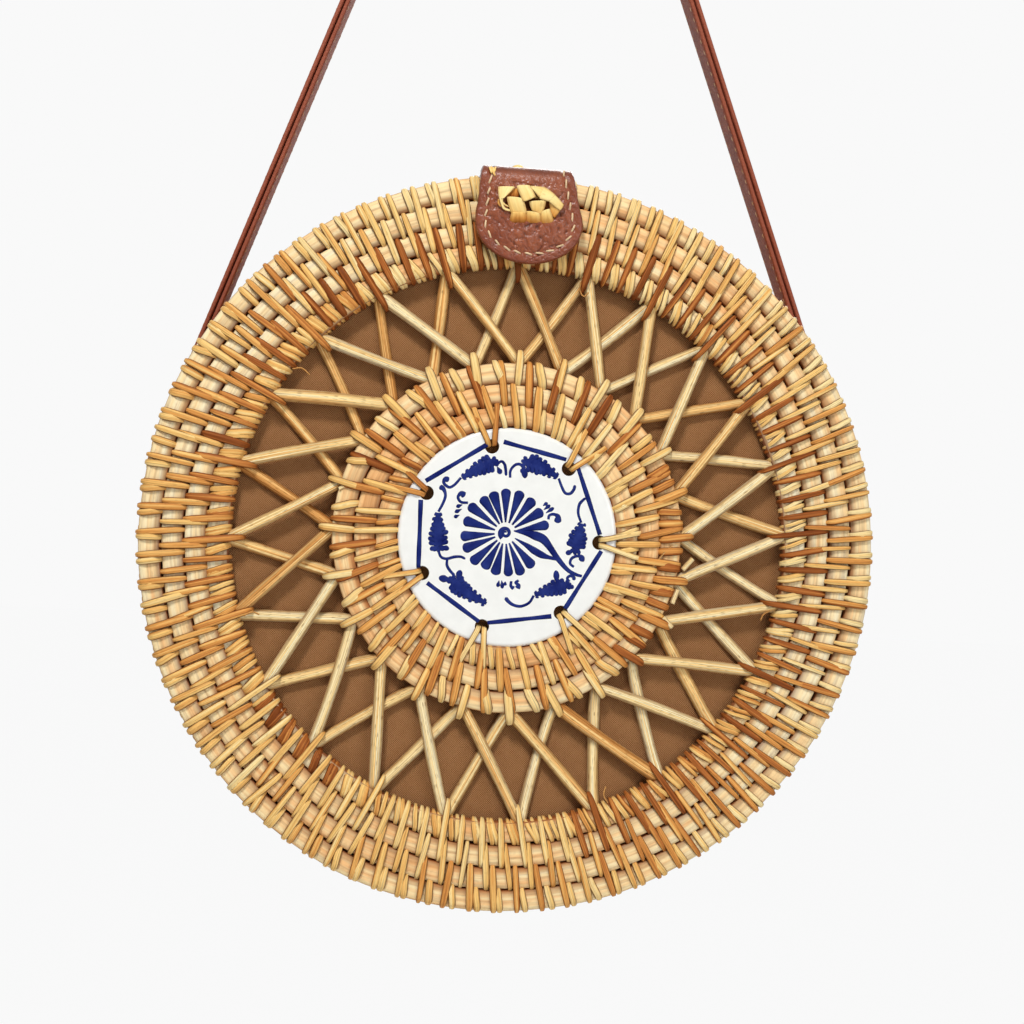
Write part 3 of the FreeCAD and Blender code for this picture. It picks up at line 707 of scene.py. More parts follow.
def stitchRow(surface, start, end, angle, row, tone, broad=0.0):
    # A row of stitches that each miss its lean and width a little. tone is runs of colour, or one for each.
    n = len(angle)
    lean = row["lean"] + jitter(n, rowValue(row, "leanSpread"))
    width = row["width"] + broad + jitter(n, rowValue(row, "widthSpread"))
    if isinstance(tone, list):
        tone = toneRuns(angle, tone, rowValue(row, "toneSpread"))
    return stitches(surface, start, end, angle, lean, width, row["thick"], tone, rowValue(row, "dives"))


# Folds of the lattice, as in the solids: evenly spaced with a slow wander
lattice = dict(folds=24, start=2.6, wander=2.6, phase=217.0, twist=2.0, width=3.0, thick=2.0, points=15,
               underRim=0.9, underHub=0.4, sunk=0.2, bow=0.25, endShare=0.16, widthSpread=0.06,
               widthWave=0.05, overTone=0.31, underTone=0.35, paleAt=2.7, toneSwing=0.14, toneSpread=0.13,
               leastTone=0.22, darkFrom=0.84, darkBy=0.3)


def wandered(degrees):
    return np.radians(degrees + lattice["wander"] * np.sin(np.radians(degrees - lattice["phase"])))


# Front rim: four turns, bound in steps of two rods, with short wraps on the first and last.
# Runs of colour go round from three o'clock, anticlockwise.
rim = dict(
    turns=4, stitches=96, lean=0.05, step=1.2, anchorReach=3.6, broad=0.17, rodTones=[0.58, 0.56, 0.56, 0.58],
    rodPoints=240, palerSides=0.3,
    inner=dict(lean=0.05, leanSpread=0.04, width=1.62, thick=0.85, miss=0.16, toneSpread=0.05,
               dives=(2.4, 3.6)),
    innerRuns=[(0, 0.84), (60, 0.92), (135, 0.74), (165, 0.66), (190, 0.62), (212, 0.25), (286, 0.84),
               (330, 0.84)],
    middle=dict(lean=0.05, width=1.48, thick=0.85),
    middleRuns=[(0, 0.3), (40, 0.34), (60, 0.28), (100, 0.26), (125, 0.42), (168, 0.46), (192, 0.36),
                (232, 0.3), (270, 0.4), (290, 0.52), (332, 0.24)],
    outer=dict(lean=0.05, width=1.62, thick=1.1, dives=(4.6, 2.4)),
    outerRuns=[(0, 0.5), (42, 0.34), (70, 0.24), (110, 0.3), (130, 0.5), (168, 0.44), (200, 0.3), (246, 0.45),
               (272, 0.58)],
    edgeWrap=dict(lean=0.12, leanSpread=0.08, width=1.7, thick=1.0, miss=0.15, toneSpread=0.06,
                  dives=(4.6, 2.4)),
    edgeShift=1.1, edgeRuns=[(0, 0.0), (36, 0.16), (130, 0.34), (250, 0.28), (306, 0.02)],
    innerWrap=dict(lean=0.3, leanSpread=0.08, width=1.25, thick=0.75, dives=(2.4, 3.6)),
    wrapShifts=(1.2, 2.05),
    wrapRuns=[(0, 0.18), (120, 0.34), (215, 0.86), (236, 0.3), (285, 0.42), (335, 0.22)])


def turnEdges(first, mids, last):
    # Edges of the turns: the first, the halves between their middles, and the last
    return np.concatenate([[first], (mids[:-1] + mids[1:]) / 2, [last]])


rimRadii = coilRadius - rod["width"] / 2 - (rod["pitch"] + coilSwell / 3) * np.arange(rim["turns"])
rimEdges = turnEdges(coilRadius, rimRadii, rimRadii[-1] - rod["width"] / 2)
rimY = (frontY + rimBackY) / 2
rimFace = dict(centre=bagMid, level=frontY, faces=-1)


def rimBinding():
    # Rows of stitches, each turned by a step from the row inside it; broader on the left than on the right
    n = rim["stitches"]
    plain = lattice["start"] + 360 / n * np.arange(n)
    anchor = np.arange(n) % (n // lattice["folds"]) == 0
    base = plain + np.degrees(rim["lean"] * 6 / rimEdges[-1])
    broad = rim["broad"] - rim["broad"] * np.cos(np.radians(plain))
    # inner pair of rods, every fourth stitch reaching in over a fold
    a = wandered(base + missed(n, rim["inner"]) * ~anchor)
    tone = toneRuns(a, rim["innerRuns"], rim["inner"]["toneSpread"])
    inside = rimEdges[4] - np.where(anchor, rim["anchorReach"], 0.0)
    shapes = [stitchRow(dict(rimFace, level=frontY - 0.1), rimEdges[2], inside, a, rim["inner"], tone, broad)]
    a = wandered(base + rim["step"] + missed(n, rim["middle"]))
    shapes.append(stitchRow(rimFace, rimEdges[1], rimEdges[3], a, rim["middle"], rim["middleRuns"], broad))
    # outer pair, round the edge, and short wraps on the first rod and the last
    a = wandered(base + 2 * rim["step"] + missed(n, rim["outer"]))
    shapes.append(stitchRow(rimFace, rimEdges[0], rimEdges[2], a, rim["outer"], rim["outerRuns"], broad))
    a = wandered(base + 2 * rim["step"] + rim["edgeShift"] + missed(n, rim["edgeWrap"]))
    shapes.append(stitchRow(rimFace, rimEdges[0], rimEdges[1], a, rim["edgeWrap"], rim["edgeRuns"], broad))
    for shift in rim["wrapShifts"]:
        a = wandered(base - shift + missed(n, rim["innerWrap"]))
        shapes.append(stitchRow(rimFace, rimEdges[3], rimEdges[4], a, rim["innerWrap"], rim["wrapRuns"],
                                1.5 * broad))
    return joinShapes(shapes)


rimRods = ringRods(rimRadii, bagMid, rimY, -1, rim["rodTones"], rim["rodPoints"], rim["palerSides"])
putMesh("rim_rods", rimRods, rodFinish, "lid", ("front_rim_coil",))
putMesh("rim_binding", rimBinding(), strandFinish, "lid")
print("front rim bound")

# Hub: three turns round the medallion. Brown wraps lie on the right, between the first folds and the last.
hub = dict(
    turns=3, stitches=36, start=4, step=4.7, anchorReach=2.7, brownTo=2, brownBack=3, rodPoints=160,
    rodTones=[0.54, 0.6, 0.64],
    outer=dict(lean=0.1, width=2.05, thick=0.85, miss=0.7, dives=(3.4, 2.4)),
    outerRuns=[(0, 0.62), (60, 0.72), (200, 0.66), (300, 0.5)],
    inner=dict(lean=0.1, width=2.05, thick=0.85, miss=0.7, dives=(2.4, 3.0)),
    innerRuns=[(0, 0.32), (200, 0.44), (260, 0.38)],
    innerWrap=dict(lean=0.24, leanSpread=0.08, width=1.6, thick=0.8, miss=0.8, dives=(2.4, 3.0)),
    wrapStep=3.8, wrapRuns=[(0, 0.2), (95, 0.62), (205, 0.22)],
    anchor=dict(lean=0.05, leanSpread=0.1, width=2.3, widthSpread=0.15, thick=1.05, dives=(3.6, 2.4)),
    anchorRuns=[(0, 0.6), (24, 0.22), (318, 0.6)],
    outerWrap=dict(leanSpread=0.1, width=2.25, widthSpread=0.15, thick=0.95, toneSpread=0.06,
                   dives=(3.4, 2.4)),
    wrapShares=(0.34, 0.66), brownMiss=0.5, paleMiss=0.8, brownLean=0.05, paleLean=0.3, brownTone=0.72,
    paleTone=0.24)
hubRadii = hubRadius - rod["width"] / 2 - rod["pitch"] * np.arange(hub["turns"])
hubEdges = turnEdges(hubRadius, hubRadii, hubRadii[-1] - rod["width"] / 2)
hubFace = dict(centre=hubMid, level=frontY, faces=-1)


def hubFold(number):
    return wandered(lattice["start"] + 360 / lattice["folds"] * number) - math.radians(lattice["twist"])


def hubBinding():
    # Two rows over two rods each and a row of short wraps, each turned by a step, then the loops at the rim
    n = hub["stitches"]
    base = 360 / n * np.arange(n) + hub["start"]
    a = np.radians(base + missed(n, hub["outer"]))
    shapes = [stitchRow(hubFace, hubEdges[0], hubEdges[2], a, hub["outer"], hub["outerRuns"])]
    a = np.radians(base - hub["step"] + missed(n, hub["inner"]))
    shapes.append(stitchRow(hubFace, hubEdges[1], hubEdges[3], a, hub["inner"], hub["innerRuns"]))
    a = np.radians(base - hub["step"] - hub["wrapStep"] + missed(n, hub["innerWrap"]))
    shapes.append(stitchRow(hubFace, hubEdges[2], hubEdges[3], a, hub["innerWrap"], hub["wrapRuns"]))
    # loops that catch the lattice folds, and a plain wrap between each two, or two brown ones
    folds = lattice["folds"]
    number = np.arange(folds)
    a = hubFold(number)
    reach = hubEdges[0] + hub["anchorReach"]
    shapes.append(stitchRow(hubFace, reach, hubEdges[1], a, hub["anchor"], hub["anchorRuns"]))
    brown = (number < hub["brownTo"]) | (number >= folds - hub["brownBack"])
    row = hub["outerWrap"]
    for share in hub["wrapShares"]:
        atShare = hubFold(number + share) + np.radians(jitter(folds, hub["brownMiss"]))
        atMiddle = hubFold(number + 0.5) + np.radians(jitter(folds, hub["paleMiss"]))
        use = brown | (share < 0.5)
        a = np.where(brown, atShare, atMiddle)[use]
        n = len(a)
        lean = np.where(brown[use], hub["brownLean"], hub["paleLean"]) + jitter(n, row["leanSpread"])
        width = row["width"] + jitter(n, row["widthSpread"])
        tone = np.where(brown[use], hub["brownTone"], hub["paleTone"]) + jitter(n, row["toneSpread"])
        shapes.append(stitches(hubFace, hubEdges[0], hubEdges[1], a, lean, width, row["thick"], tone,
                               row["dives"]))
    return joinShapes(shapes)


hubRods = ringRods(hubRadii, hubMid, rimY, -1, hub["rodTones"], hub["rodPoints"])
putMesh("hub_rods", hubRods, rodFinish, "lid", ("hub_coil",))
putMesh("hub_binding", hubBinding(), strandFinish, "lid")
print("hub bound")


def latticeReeds(step, level, tone):
    # Straight reeds from each rim fold to a hub fold beside it, bowed sideways by half a sine wave. They lie
    # at their own level and bend smoothly, by 3 e^2 - 2 e^3, into the rods at both ends.
    n = lattice["folds"]
    number = np.arange(n)
    outer = wandered(lattice["start"] + 360 / n * number)
    inner = hubFold(number + step)
    a = polar(bagMid, rimEdges[-1] + lattice["underRim"], outer, 0.0)
    b = polar(hubMid, hubRadius - lattice["underHub"], inner, 0.0)
    t = np.linspace(0, 1, lattice["points"])[None, :, None]
    paths = a[:, None] * (1 - t) + b[:, None] * t
    cross = np.cross(unit(b - a), np.array([0, 1.0, 0]))
    paths = paths + cross[:, None] * (np.sin(np.pi * t) * jitter((n, 1, 1), lattice["bow"]))
    ends = np.minimum(1, np.minimum(t, 1 - t) / lattice["endShare"])[..., 0]
    middle = rimY + lattice["sunk"]
    paths[..., 1] = middle + (level - middle) * (3 * ends ** 2 - 2 * ends ** 3)
    uneven = 1 + jitter((n, 1), lattice["widthSpread"])
    uneven = uneven + lattice["widthWave"] * np.sin(t[..., 0] * 9 + rng.uniform(0, 6, (n, 1)))
    swing = lattice["toneSwing"] * np.cos(outer - lattice["paleAt"])[:, None]
    mark = np.maximum(tone + swing + jitter((n, 1), lattice["toneSpread"]), lattice["leastTone"])
    mark = mark + lattice["darkBy"] * (rng.uniform(0, 1, (n, 1)) > lattice["darkFrom"])
    return sweep(paths, facing(paths, 1, -1), reedSection, lattice["width"] * uneven, lattice["thick"],
                 marks=dict(tone=mark))


for label, step, tone in (("lattice_over", -1, lattice["overTone"]),
                          ("lattice_under", 1, lattice["underTone"])):
    solid = label + "_reeds"
    reeds = latticeReeds(step, nodeBox(solid)[1][1], tone)
    putMesh(label, reeds, reedFinish, "lid", (solid,))

# Loose ends: cut reeds beside the hub and thin fibres that have sprung free, (across, up) from the bag's axis
loose = dict(
    cut=(((47.7, -5.1), (50.3, -2.0)), ((46.5, -10.6), (45.2, -14.4)), ((42.9, -18.3), (45.4, -20.9)),
         ((-43.9, 14.5), (-46.4, 13.0))),
    fibres=(((44.2, 1.3), (42.0, -1.0), (39.3, -4.6)),
            ((16.5, 71.6), (16.3, 69.4), (17.5, 67.8), (18.8, 69.0)),
            ((-60.1, 44.6), (-57.6, 44.9), (-55.4, 43.2)), ((71.9, -15.2), (70.1, -16.4), (69.4, -18.0)),
            ((-70.3, -22.0), (-68.0, -21.0), (-66.2, -21.6)), ((29.8, -69.0), (28.6, -66.9), (29.0, -64.6))),
    cutLook=dict(level=0.7, width=1.4, thick=1.1, section=reedSection, tone=0.3),
    fibreLook=dict(level=-0.7, width=0.4, thick=0.3, section=roundBar(8, 2.0), tone=0.75))


def looseEnds():
    # A section carried along a smooth line at one level, behind the front of the rim or before it
    shapes = []
    for ends, look in ((loose["cut"], loose["cutLook"]), (loose["fibres"], loose["fibreLook"])):
        for points in ends:
            run = smoothLine(points, 10)
            level = frontY + look["level"] + 0 * run[:, 0]
            path = np.stack([bagMid[0] + run[:, 0], level, bagMid[2] + run[:, 1]], -1)[None]
            shapes.append(sweep(path, facing(path, 1, -1), look["section"], look["width"], look["thick"],
                                marks=dict(tone=np.full((1, 1), look["tone"]))))
    return joinShapes(shapes)


putMesh("lattice_loose_ends", looseEnds(), reedFinish, "lid")
print("lattice set")

# Lining: panels behind the rods and bands round the inside of the wall
lining = dict(ripple=0.12, edge=0.3, rings=40, sides=120, bandThick=0.9, bandSides=240, pucker=0.18)


def liningPanel(name, body):
    # A thin disc turned about the bag's axis, rippled by products of sine waves that fade towards its edge
    low, high = nodeBox(name)
    radius = (high[0] - low[0]) / 2
    count, flatTo = lining["rings"], radius - lining["edge"]
    r = np.concatenate([np.linspace(0, flatTo, count), [radius], np.linspace(flatTo, 0, count)])
    y = np.concatenate([np.full(count, low[1]), [(low[1] + high[1]) / 2], np.full(count, high[1])])
    shape = revolve(np.stack([r, y], -1), lining["sides"], bagMid)
    v = shape["verts"]
    x, z = v[:, 0], v[:, 2]
    d = np.hypot(x - bagMid[0], z - bagMid[2]) / radius
    waves = np.sin(x * 0.16 + 1.1) * np.sin(z * 0.13) + 0.6 * np.sin(x * 0.31 - z * 0.22)
    v[:, 1] += lining["ripple"] * waves * (1 - d ** 4)
    thing = putMesh(name + "_cloth", shape, liningFinish, body, (name,))


def liningBand(name, body):
    # A thin ring carried round the bag's axis, its inner face puckered by a quick sine wave that comes and
    # goes. The map unrolls it: distance round the outside, and y.
    low, high = nodeBox(name)
    outer = (high[0] - low[0]) / 2
    inner = outer - lining["bandThick"]
    mid = (outer + inner) / 2
    t = np.arange(lining["bandSides"]) / lining["bandSides"] * 2 * np.pi
    ring = np.array([(outer, low[1]), (outer, high[1]), (mid, high[1] + 0.1), (inner, high[1]),
                     (inner, low[1]), (mid, low[1] - 0.05)])
    pucker = lining["pucker"] * np.sin(t * 60) * np.sin(t * 7 + 1)
    r = ring[:, 0] + np.where(ring[:, 0] < outer - 0.1, 1.0, 0.0) * pucker[:, None]
    shape = loft(polar(bagMid, r, t[:, None], ring[:, 1])[None], (t * outer)[None], True)
    verts = shape["verts"]
    around = np.arctan2(verts[:, 2] - bagMid[2], verts[:, 0] - bagMid[0]) * outer
    loops = np.concatenate([f.ravel() for f in shape["faces"]])
    flat = np.stack([around[loops], verts[loops, 1]], -1).reshape(-1, 4, 2)
    wrapped = (np.ptp(flat[..., 0], axis=1) > outer)[:, None] & (flat[..., 0] < 0)
    flat[..., 0] = np.where(wrapped, flat[..., 0] + 2 * np.pi * outer, flat[..., 0])
    shape["uv"] = flat.reshape(-1, 2)
    thing = putMesh(name + "_cloth", shape, bandFinish, body, (name,))


liningPanel("front_lining_panel", "lid")
liningPanel("back_lining_panel", "back_half")

# Side wall: turns along Y, bound the same way as the rim
wall = dict(
    stitches=96, step=1.36, rodPoints=200, lidTurns=5, backTurns=6, rodTones=(0.36, 0.5), firstShift=1.2,
    lastShift=-0.2,
    row=dict(lean=0.12, width=1.9, widthSpread=0.1, thick=0.85),
    edgeRow=dict(lean=0.3, leanSpread=0.08, width=1.5, widthSpread=0.1, thick=0.8, dives=(3.8, 2.4)),
    edgeRuns=[(0, 0.2), (180, 0.28)],
    tones=([(0, 0.35), (80, 0.6), (170, 0.3), (290, 0.7)], [(0, 0.3), (140, 0.45), (230, 0.72)],
           [(0, 0.7), (60, 0.32), (200, 0.4), (310, 0.6)], [(0, 0.42), (120, 0.78), (210, 0.3)]))
wallFace = dict(centre=bagMid, radius=coilRadius)


def wallCoil(label, low, high, turns, body, replaced, tones):
    # Rings side by side along Y, rows of stitches over two rods each, and short wraps at both edges
    firstY, lastY = low[1], high[1]
    mids = firstY + rod["width"] / 2 + rod["pitch"] * np.arange(turns)
    edges = turnEdges(firstY, mids, lastY)
    radii = np.full(turns, coilRadius - rod["thick"] / 2)
    rods = ringRods(radii, bagMid, mids, "out", rng.uniform(*wall["rodTones"], turns), wall["rodPoints"])
    putMesh(label + "_rods", rods, rodFinish, body, replaced)
    n = wall["stitches"]
    base = 360 / n * np.arange(n)
    shapes = []
    for k in range(turns - 1):
        a = np.radians(base - wall["step"] * k + missed(n, wall["row"]))
        shapes.append(stitchRow(wallFace, edges[k], edges[k + 2], a, wall["row"], tones[k % len(tones)]))
    lastShift = -wall["step"] * (turns - 1) + wall["lastShift"]
    for begin, end, shift in ((edges[0], edges[1], wall["firstShift"]), (edges[-1], edges[-2], lastShift)):
        a = np.radians(base + shift + missed(n, wall["edgeRow"]))
        shapes.append(stitchRow(wallFace, begin, end, a, wall["edgeRow"], wall["edgeRuns"]))
    putMesh(label + "_binding", joinShapes(shapes), strandFinish, body)


wallCoil("lid_wall", lidWallLow, lidWallHigh, wall["lidTurns"], "lid", ("front_wall_coil",), wall["tones"])
wallCoil("back_wall", backWallLow, backWallHigh, wall["backTurns"], "back_half", ("back_wall_coil",),
         wall["tones"][::-1])
liningBand("front_lining_band", "lid")
liningBand("back_lining_band", "back_half")
print("walls bound and lined")

# Back: one long coil out from a plug, bound from turn to turn
back = dict(
    turns=16, rodPoints=200, rodTones=(0.36, 0.52), spacing=6.4, plugGap=0.3, turnStep=7.3, outerStitches=96,
    edgeShift=1.7, lastDives=(2.4, 4.6),
    row=dict(lean=0.13, width=1.9, widthSpread=0.1, thick=0.85, miss=0.3),
    edgeRow=dict(lean=0.2, leanSpread=0.08, width=1.5, widthSpread=0.1, thick=0.8, dives=(4.6, 2.4)),
    edgeRuns=[(0, 0.24)], plugTone=0.45, whorlTurns=2.6, whorlWidth=1.5, whorlThick=0.7, whorlTone=0.3)
backFace = dict(centre=bagMid, level=backY, faces=1)
plugLow, plugHigh = nodeBox("back_centre_button")
plugRadius = plugHigh[0] - bagMid[0]


def backDisc():
    # Rings spaced evenly from the plug to the edge, and stitches at even distances over each two of them
    first = plugRadius + back["plugGap"] + rod["width"] / 2
    radii = np.linspace(first, coilRadius - rod["width"] / 2, back["turns"])
    edges = turnEdges(radii[0] - rod["width"] / 2, radii, coilRadius)
    discY = (discLow[1] + discHigh[1]) / 2
    rods = ringRods(radii, bagMid, discY, 1, rng.uniform(*back["rodTones"], len(radii)), back["rodPoints"])
    putMesh("back_rods", rods, rodFinish, "back_half", ("back_disc_coil",))
    shapes = []
    for k in range(len(radii) - 1):
        n = max(6, int(round(2 * np.pi * edges[k + 1] / back["spacing"])))
        a = np.radians(360 / n * np.arange(n) + back["turnStep"] * k + missed(n, back["row"]))
        row = dict(back["row"], dives=back["lastDives"]) if k == len(radii) - 2 else back["row"]
        tone = toneRuns(a, [(0, 0.3 + 0.1 * (k % 3)), (90 + 17 * k % 90, 0.62 - 0.08 * (k % 4)), (230, 0.34)])
        shapes.append(stitchRow(backFace, edges[k], edges[k + 2], a, row, tone))
    n = back["outerStitches"]
    a = np.radians(360 / n * np.arange(n) + back["edgeShift"] + missed(n, back["edgeRow"]))
    shapes.append(stitchRow(backFace, edges[-1], edges[-2], a, back["edgeRow"], back["edgeRuns"]))
    putMesh("back_binding", joinShapes(shapes), strandFinish, "back_half")


def backPlug():
    # A domed core turned about the axis, and over it a strand on an even spiral, lower by its radius squared
    r, top = plugRadius, plugHigh[1]
    profile = np.array([(0, plugLow[1]), (r, plugLow[1]), (r, top - 1.2), (r * 0.8, top - 0.2),
                        (r * 0.4, top + 0.35), (0, top + 0.5)])
    core = revolve(profile, 32, bagMid)
    core["marks"] = dict(tone=np.full(len(core["verts"]), back["plugTone"]))
    t = np.linspace(0.15, 1, 120)
    spiral = r * 0.92 * t
    y = top + 0.5 - 0.95 * (spiral / r) ** 2
    path = polar(bagMid, spiral, t * back["whorlTurns"] * 2 * np.pi, y)[None]
    whorl = sweep(path, facing(path, 1, 1), strandSection, back["whorlWidth"], back["whorlThick"],
                  marks=dict(tone=np.full((1, 1), back["whorlTone"])))
    return joinShapes([core, whorl])


backDisc()
putMesh("back_plug", backPlug(), strandFinish, "back_half", ("back_centre_button",))
print("back bound")

# Ties: two strands from each hole of the medallion over its edge and round the hub's first turn
tie = dict(holes=7, start=102.0, inset=4.75, inHole=0.75, width=1.6, thick=0.8, spread=3.3, bend=1.3,
           dives=(3.0, 2.4), arch=0.05, proud=0.05, overlap=0.3, splaySpread=0.3, toneSpread=0.05,
           tones=(0.52, 0.46, 0.1, 0.2, 0.12, 0.5, 0.6))
medLow, medHigh = nodeBox("ceramic_medallion")
medRadius = (medHigh[0] - medLow[0]) / 2


def tieStrands():
    # A stitch along the radius through its hole, going off to one side in proportion to its length
    hole = np.repeat(np.radians(tie["start"] - 360 / tie["holes"] * np.arange(tie["holes"])), 2)[:, None]
    side = np.tile([1.0, -1.0], tie["holes"])[:, None]
    n = len(hole)
    first, last = medRadius - tie["inset"] + tie["inHole"], hubEdges[2] + tie["overlap"]
    length = np.full((n, 1), last - first)
    x, h, along, away = stitchRun(length, tie["bend"], tie["dives"], tie["arch"])
    splay = tie["spread"] - tie["inHole"] + jitter(n, tie["splaySpread"])[:, None]
    sideways = side * (tie["inHole"] + splay * x / length)
    paths = polar(hubMid, first + x, hole, frontY - h - tie["proud"])
    paths[..., 0] -= sideways * np.sin(hole)
    paths[..., 2] += sideways * np.cos(hole)
    ups = polar((0, 0, 0), along, hole, -away)
    tone = np.repeat(np.array(tie["tones"]), 2) + jitter(n, tie["toneSpread"])
    return sweep(paths, ups, strandSection, tie["width"], tie["thick"], marks=dict(tone=tone[:, None]))


putMesh("medallion_tie_strands", tieStrands(), strandFinish, "lid", ("medallion_ties",))
# Painting: brush strokes just proud of the glaze. Places are (right, up) from the medallion's middle.
paint = dict(
    turn=2.4, rise=0.07, line=1.2, flower=(-0.6, 1.2), petalFrom=2.9, petalTo=12.1, petalWidth=2.85,
    petals=(11, 31, 50, 70, 89, 106, 123, 142, 163, 184, 201, 221, 239, 256, 273.5, 291, 308),
    # sides of the border, from end to end
    border=(((-22.1, 15.3), (-5.45, 25.2)), ((-1.0, 25.9), (15.95, 21.1)), ((19.0, 19.4), (25.1, 0.7)),
            ((25.5, -3.7), (15.6, -19.3)), ((11.9, -21.35), (-5.45, -23.05)),
            ((-7.8, -22.7), (-21.75, -12.2)), ((-24.1, -8.1), (-23.45, 10.2))),
    # two petals that run on into the stem, with their widths
    stems=((((1.7, 1.8), (5.1, 1.2), (7.5, 0.5), (9.7, -0.5), (11.5, -2.7), (13.6, -5.7), (16.3, -8.8),
             (18.7, -10.1), (20.2, -10.5)), (0.4, 1.5, 2.5, 2.4, 1.8, 1.5, 1.15, 0.9, 0.7)),
           (((2, -0.2), (5.1, -2.1), (7.1, -3.5), (9.2, -4.7), (11.2, -5.4), (13.6, -5.9)),
            (0.3, 1.3, 2.0, 1.9, 1.1, 0.9))),
    # leaf sprays: base, middle and tip of the rib, half-width at the base, lobes on each side
    sprays=(((-3.8, 20.4), (-7.8, 18.7), (-12.6, 16.0), 2.2, 7),
            ((5.1, 20.4), (9.2, 19.1), (13.9, 16.2), 2.3, 7),
            ((18.5, -3.2), (19.2, 0.1), (20.2, 4.0), 2.4, 6),
            ((16.0, -12.9), (11.9, -14.0), (7.1, -15.7), 2.1, 7),
            ((-14.8, -11.6), (-11.6, -14.6), (-5.4, -18.0), 2.3, 8),
            ((-18.7, -2.5), (-18.9, 2.1), (-18.7, 7.0), 2.4, 7)),
    # tendrils end in a round drop, whose width comes last
    tendrils=(((-12.6, 16.2), (-14.3, 14.3), (-15.8, 13.6), (-17.2, 14.7), (-16.8, 15.8), (-15.8, 15.5), 1.6),
              ((-3.1, 19.6), (-1.7, 20.6), (-0.8, 19.8), (-0.5, 18.3), (-0.4, 16.7), 0.8),
              ((0.7, 16.2), (0.8, 18.1), (2, 19.6), (3.4, 19.8), (4.4, 18.7), (4.7, 17.2), (4, 16.6), 1.9),
              ((13.9, 16), (14.6, 14), (15.6, 12.1), (17, 11.9), (18, 13), (18.3, 14.2), 0.9),
              ((20, 4), (19.2, 6.5), (19.5, 8.9), (20.6, 10.2), (21.2, 10.6), 0.7),
              ((18, -8), (17, -7.1), (17.4, -5.7), (19, -5), (20.2, -5.5), (19.9, -6.5), 1.7),
              ((7.1, -15.7), (5.9, -17.6), (3.7, -18.6), (1.7, -18.3), (0.2, -17.3), (-0.6, -16.2), 1.1),
              ((16.8, -12), (16.2, -11.1), (17, -10.4), (18, -10.8), (17.9, -11.6), 1),
              ((-18.7, -3.6), (-18, -5.2), (-16.5, -5.7), (-14.3, -5.2), (-12.6, -5.2), (-11.4, -5.8), 0.7),
              ((-16.3, -5.7), (-16.4, -7.4), (-15.6, -8.9), (-14.3, -10.3), 0.8),
              ((-18.7, 7), (-17.5, 9.2), (-16.8, 11.3), (-17.3, 13.1), (-18.4, 13.8), 1.5),
              ((-10.7, 9.4), (-12.6, 9.6), (-13.4, 10.9), (-12.6, 11.9), (-11.5, 11.3), 1.8),
              ((11.1, 4.9), (11.3, 5.9), (12.4, 6.3), (13.6, 5.7), (13.6, 3.9), 2),
              ((1, -11.8), (0.9, -13.1), (1.7, -13.8), 1.2),
              ((3, -11.6), (2.2, -12.2), (3, -12.9), (2.6, -13.8), 1.5)),
    # single dabs of the brush, from their thin end, with their widths last
    dabs=(((-2.8, 19.2), (-1.8, 17.2), 1.5), ((18, -3.6), (15.8, -4.4), 1.5),
          ((13.5, -13), (13.1, -8.9), 1.7), ((16.5, -12.6), (17.9, -13.8), 1.3),
          ((-14.9, -11.6), (-18.6, -10.8), 2), ((-13.8, -11.8), (-12.7, -8.8), 1.8),
          ((-19.1, -2.3), (-21, -3.3), 1.4),
          ((-18.3, -2.3), (-15.8, -3.1), 1.5), ((4.9, 19.2), (3.7, 17.4), 1.5),
          ((-12.2, 8.9), (-13.9, 8.3), 1.1), ((-12.4, 7.7), (-14.3, 6.8), 1.1),
          ((-13, 6.1), (-14.5, 5.5), 1.1), ((9.6, 8.6), (10.9, 9.4), 1.1),
          ((9.8, 7.5), (11.6, 8.8), 1.1), ((10.4, 6.6), (12.6, 8.1), 1.1),
          ((-2.3, -11.6), (-2.7, -13.4), 1.1), ((-1.6, -11.6), (-1.4, -13.8), 1.1),
          ((-0.6, -11.9), (-0.8, -13), 1.1)))


def turnedPlace(middle, turn, u, v, y):
    # Places (right, up) turned about a middle on the front of the bag, at their own y
    c, s = math.cos(math.radians(turn)), math.sin(math.radians(turn))
    return np.stack([middle[0] + u * c - v * s, y, middle[2] + v * c + u * s], -1)


def brush(lines, widths):
    # Strokes: a flat section carried along lines on the glaze, its width given along each line
    u, v = lines[..., 0], lines[..., 1]
    level = frontY - 0.02 * rng.uniform(0, 1, (len(lines), 1))
    path = turnedPlace(hubMid, paint["turn"], u, v, level + 0 * u)
    return sweep(path, facing(path, 1, -1), roundBar(6, 2.0), widths, 2 * paint["rise"])


def dab(starts, ends, width, belly, count=16):
    # A dab swells almost evenly from a thin end to its belly, and ends in a half circle
    rounding = np.sin(np.linspace(0, np.pi / 2, 8)[1:])
    t = np.concatenate([np.linspace(0, belly, count - 7), belly + (1 - belly) * rounding])
    lines = starts[:, None] + (ends - starts)[:, None] * t[:, None]
    closing = np.sqrt(np.maximum(1 - ((t - belly) / (1 - belly)) ** 2, 0.004))
    swell = np.where(t < belly, 0.16 + 0.84 * (t / belly) ** 1.1, closing)
    return brush(lines, np.asarray(width)[:, None] * swell)


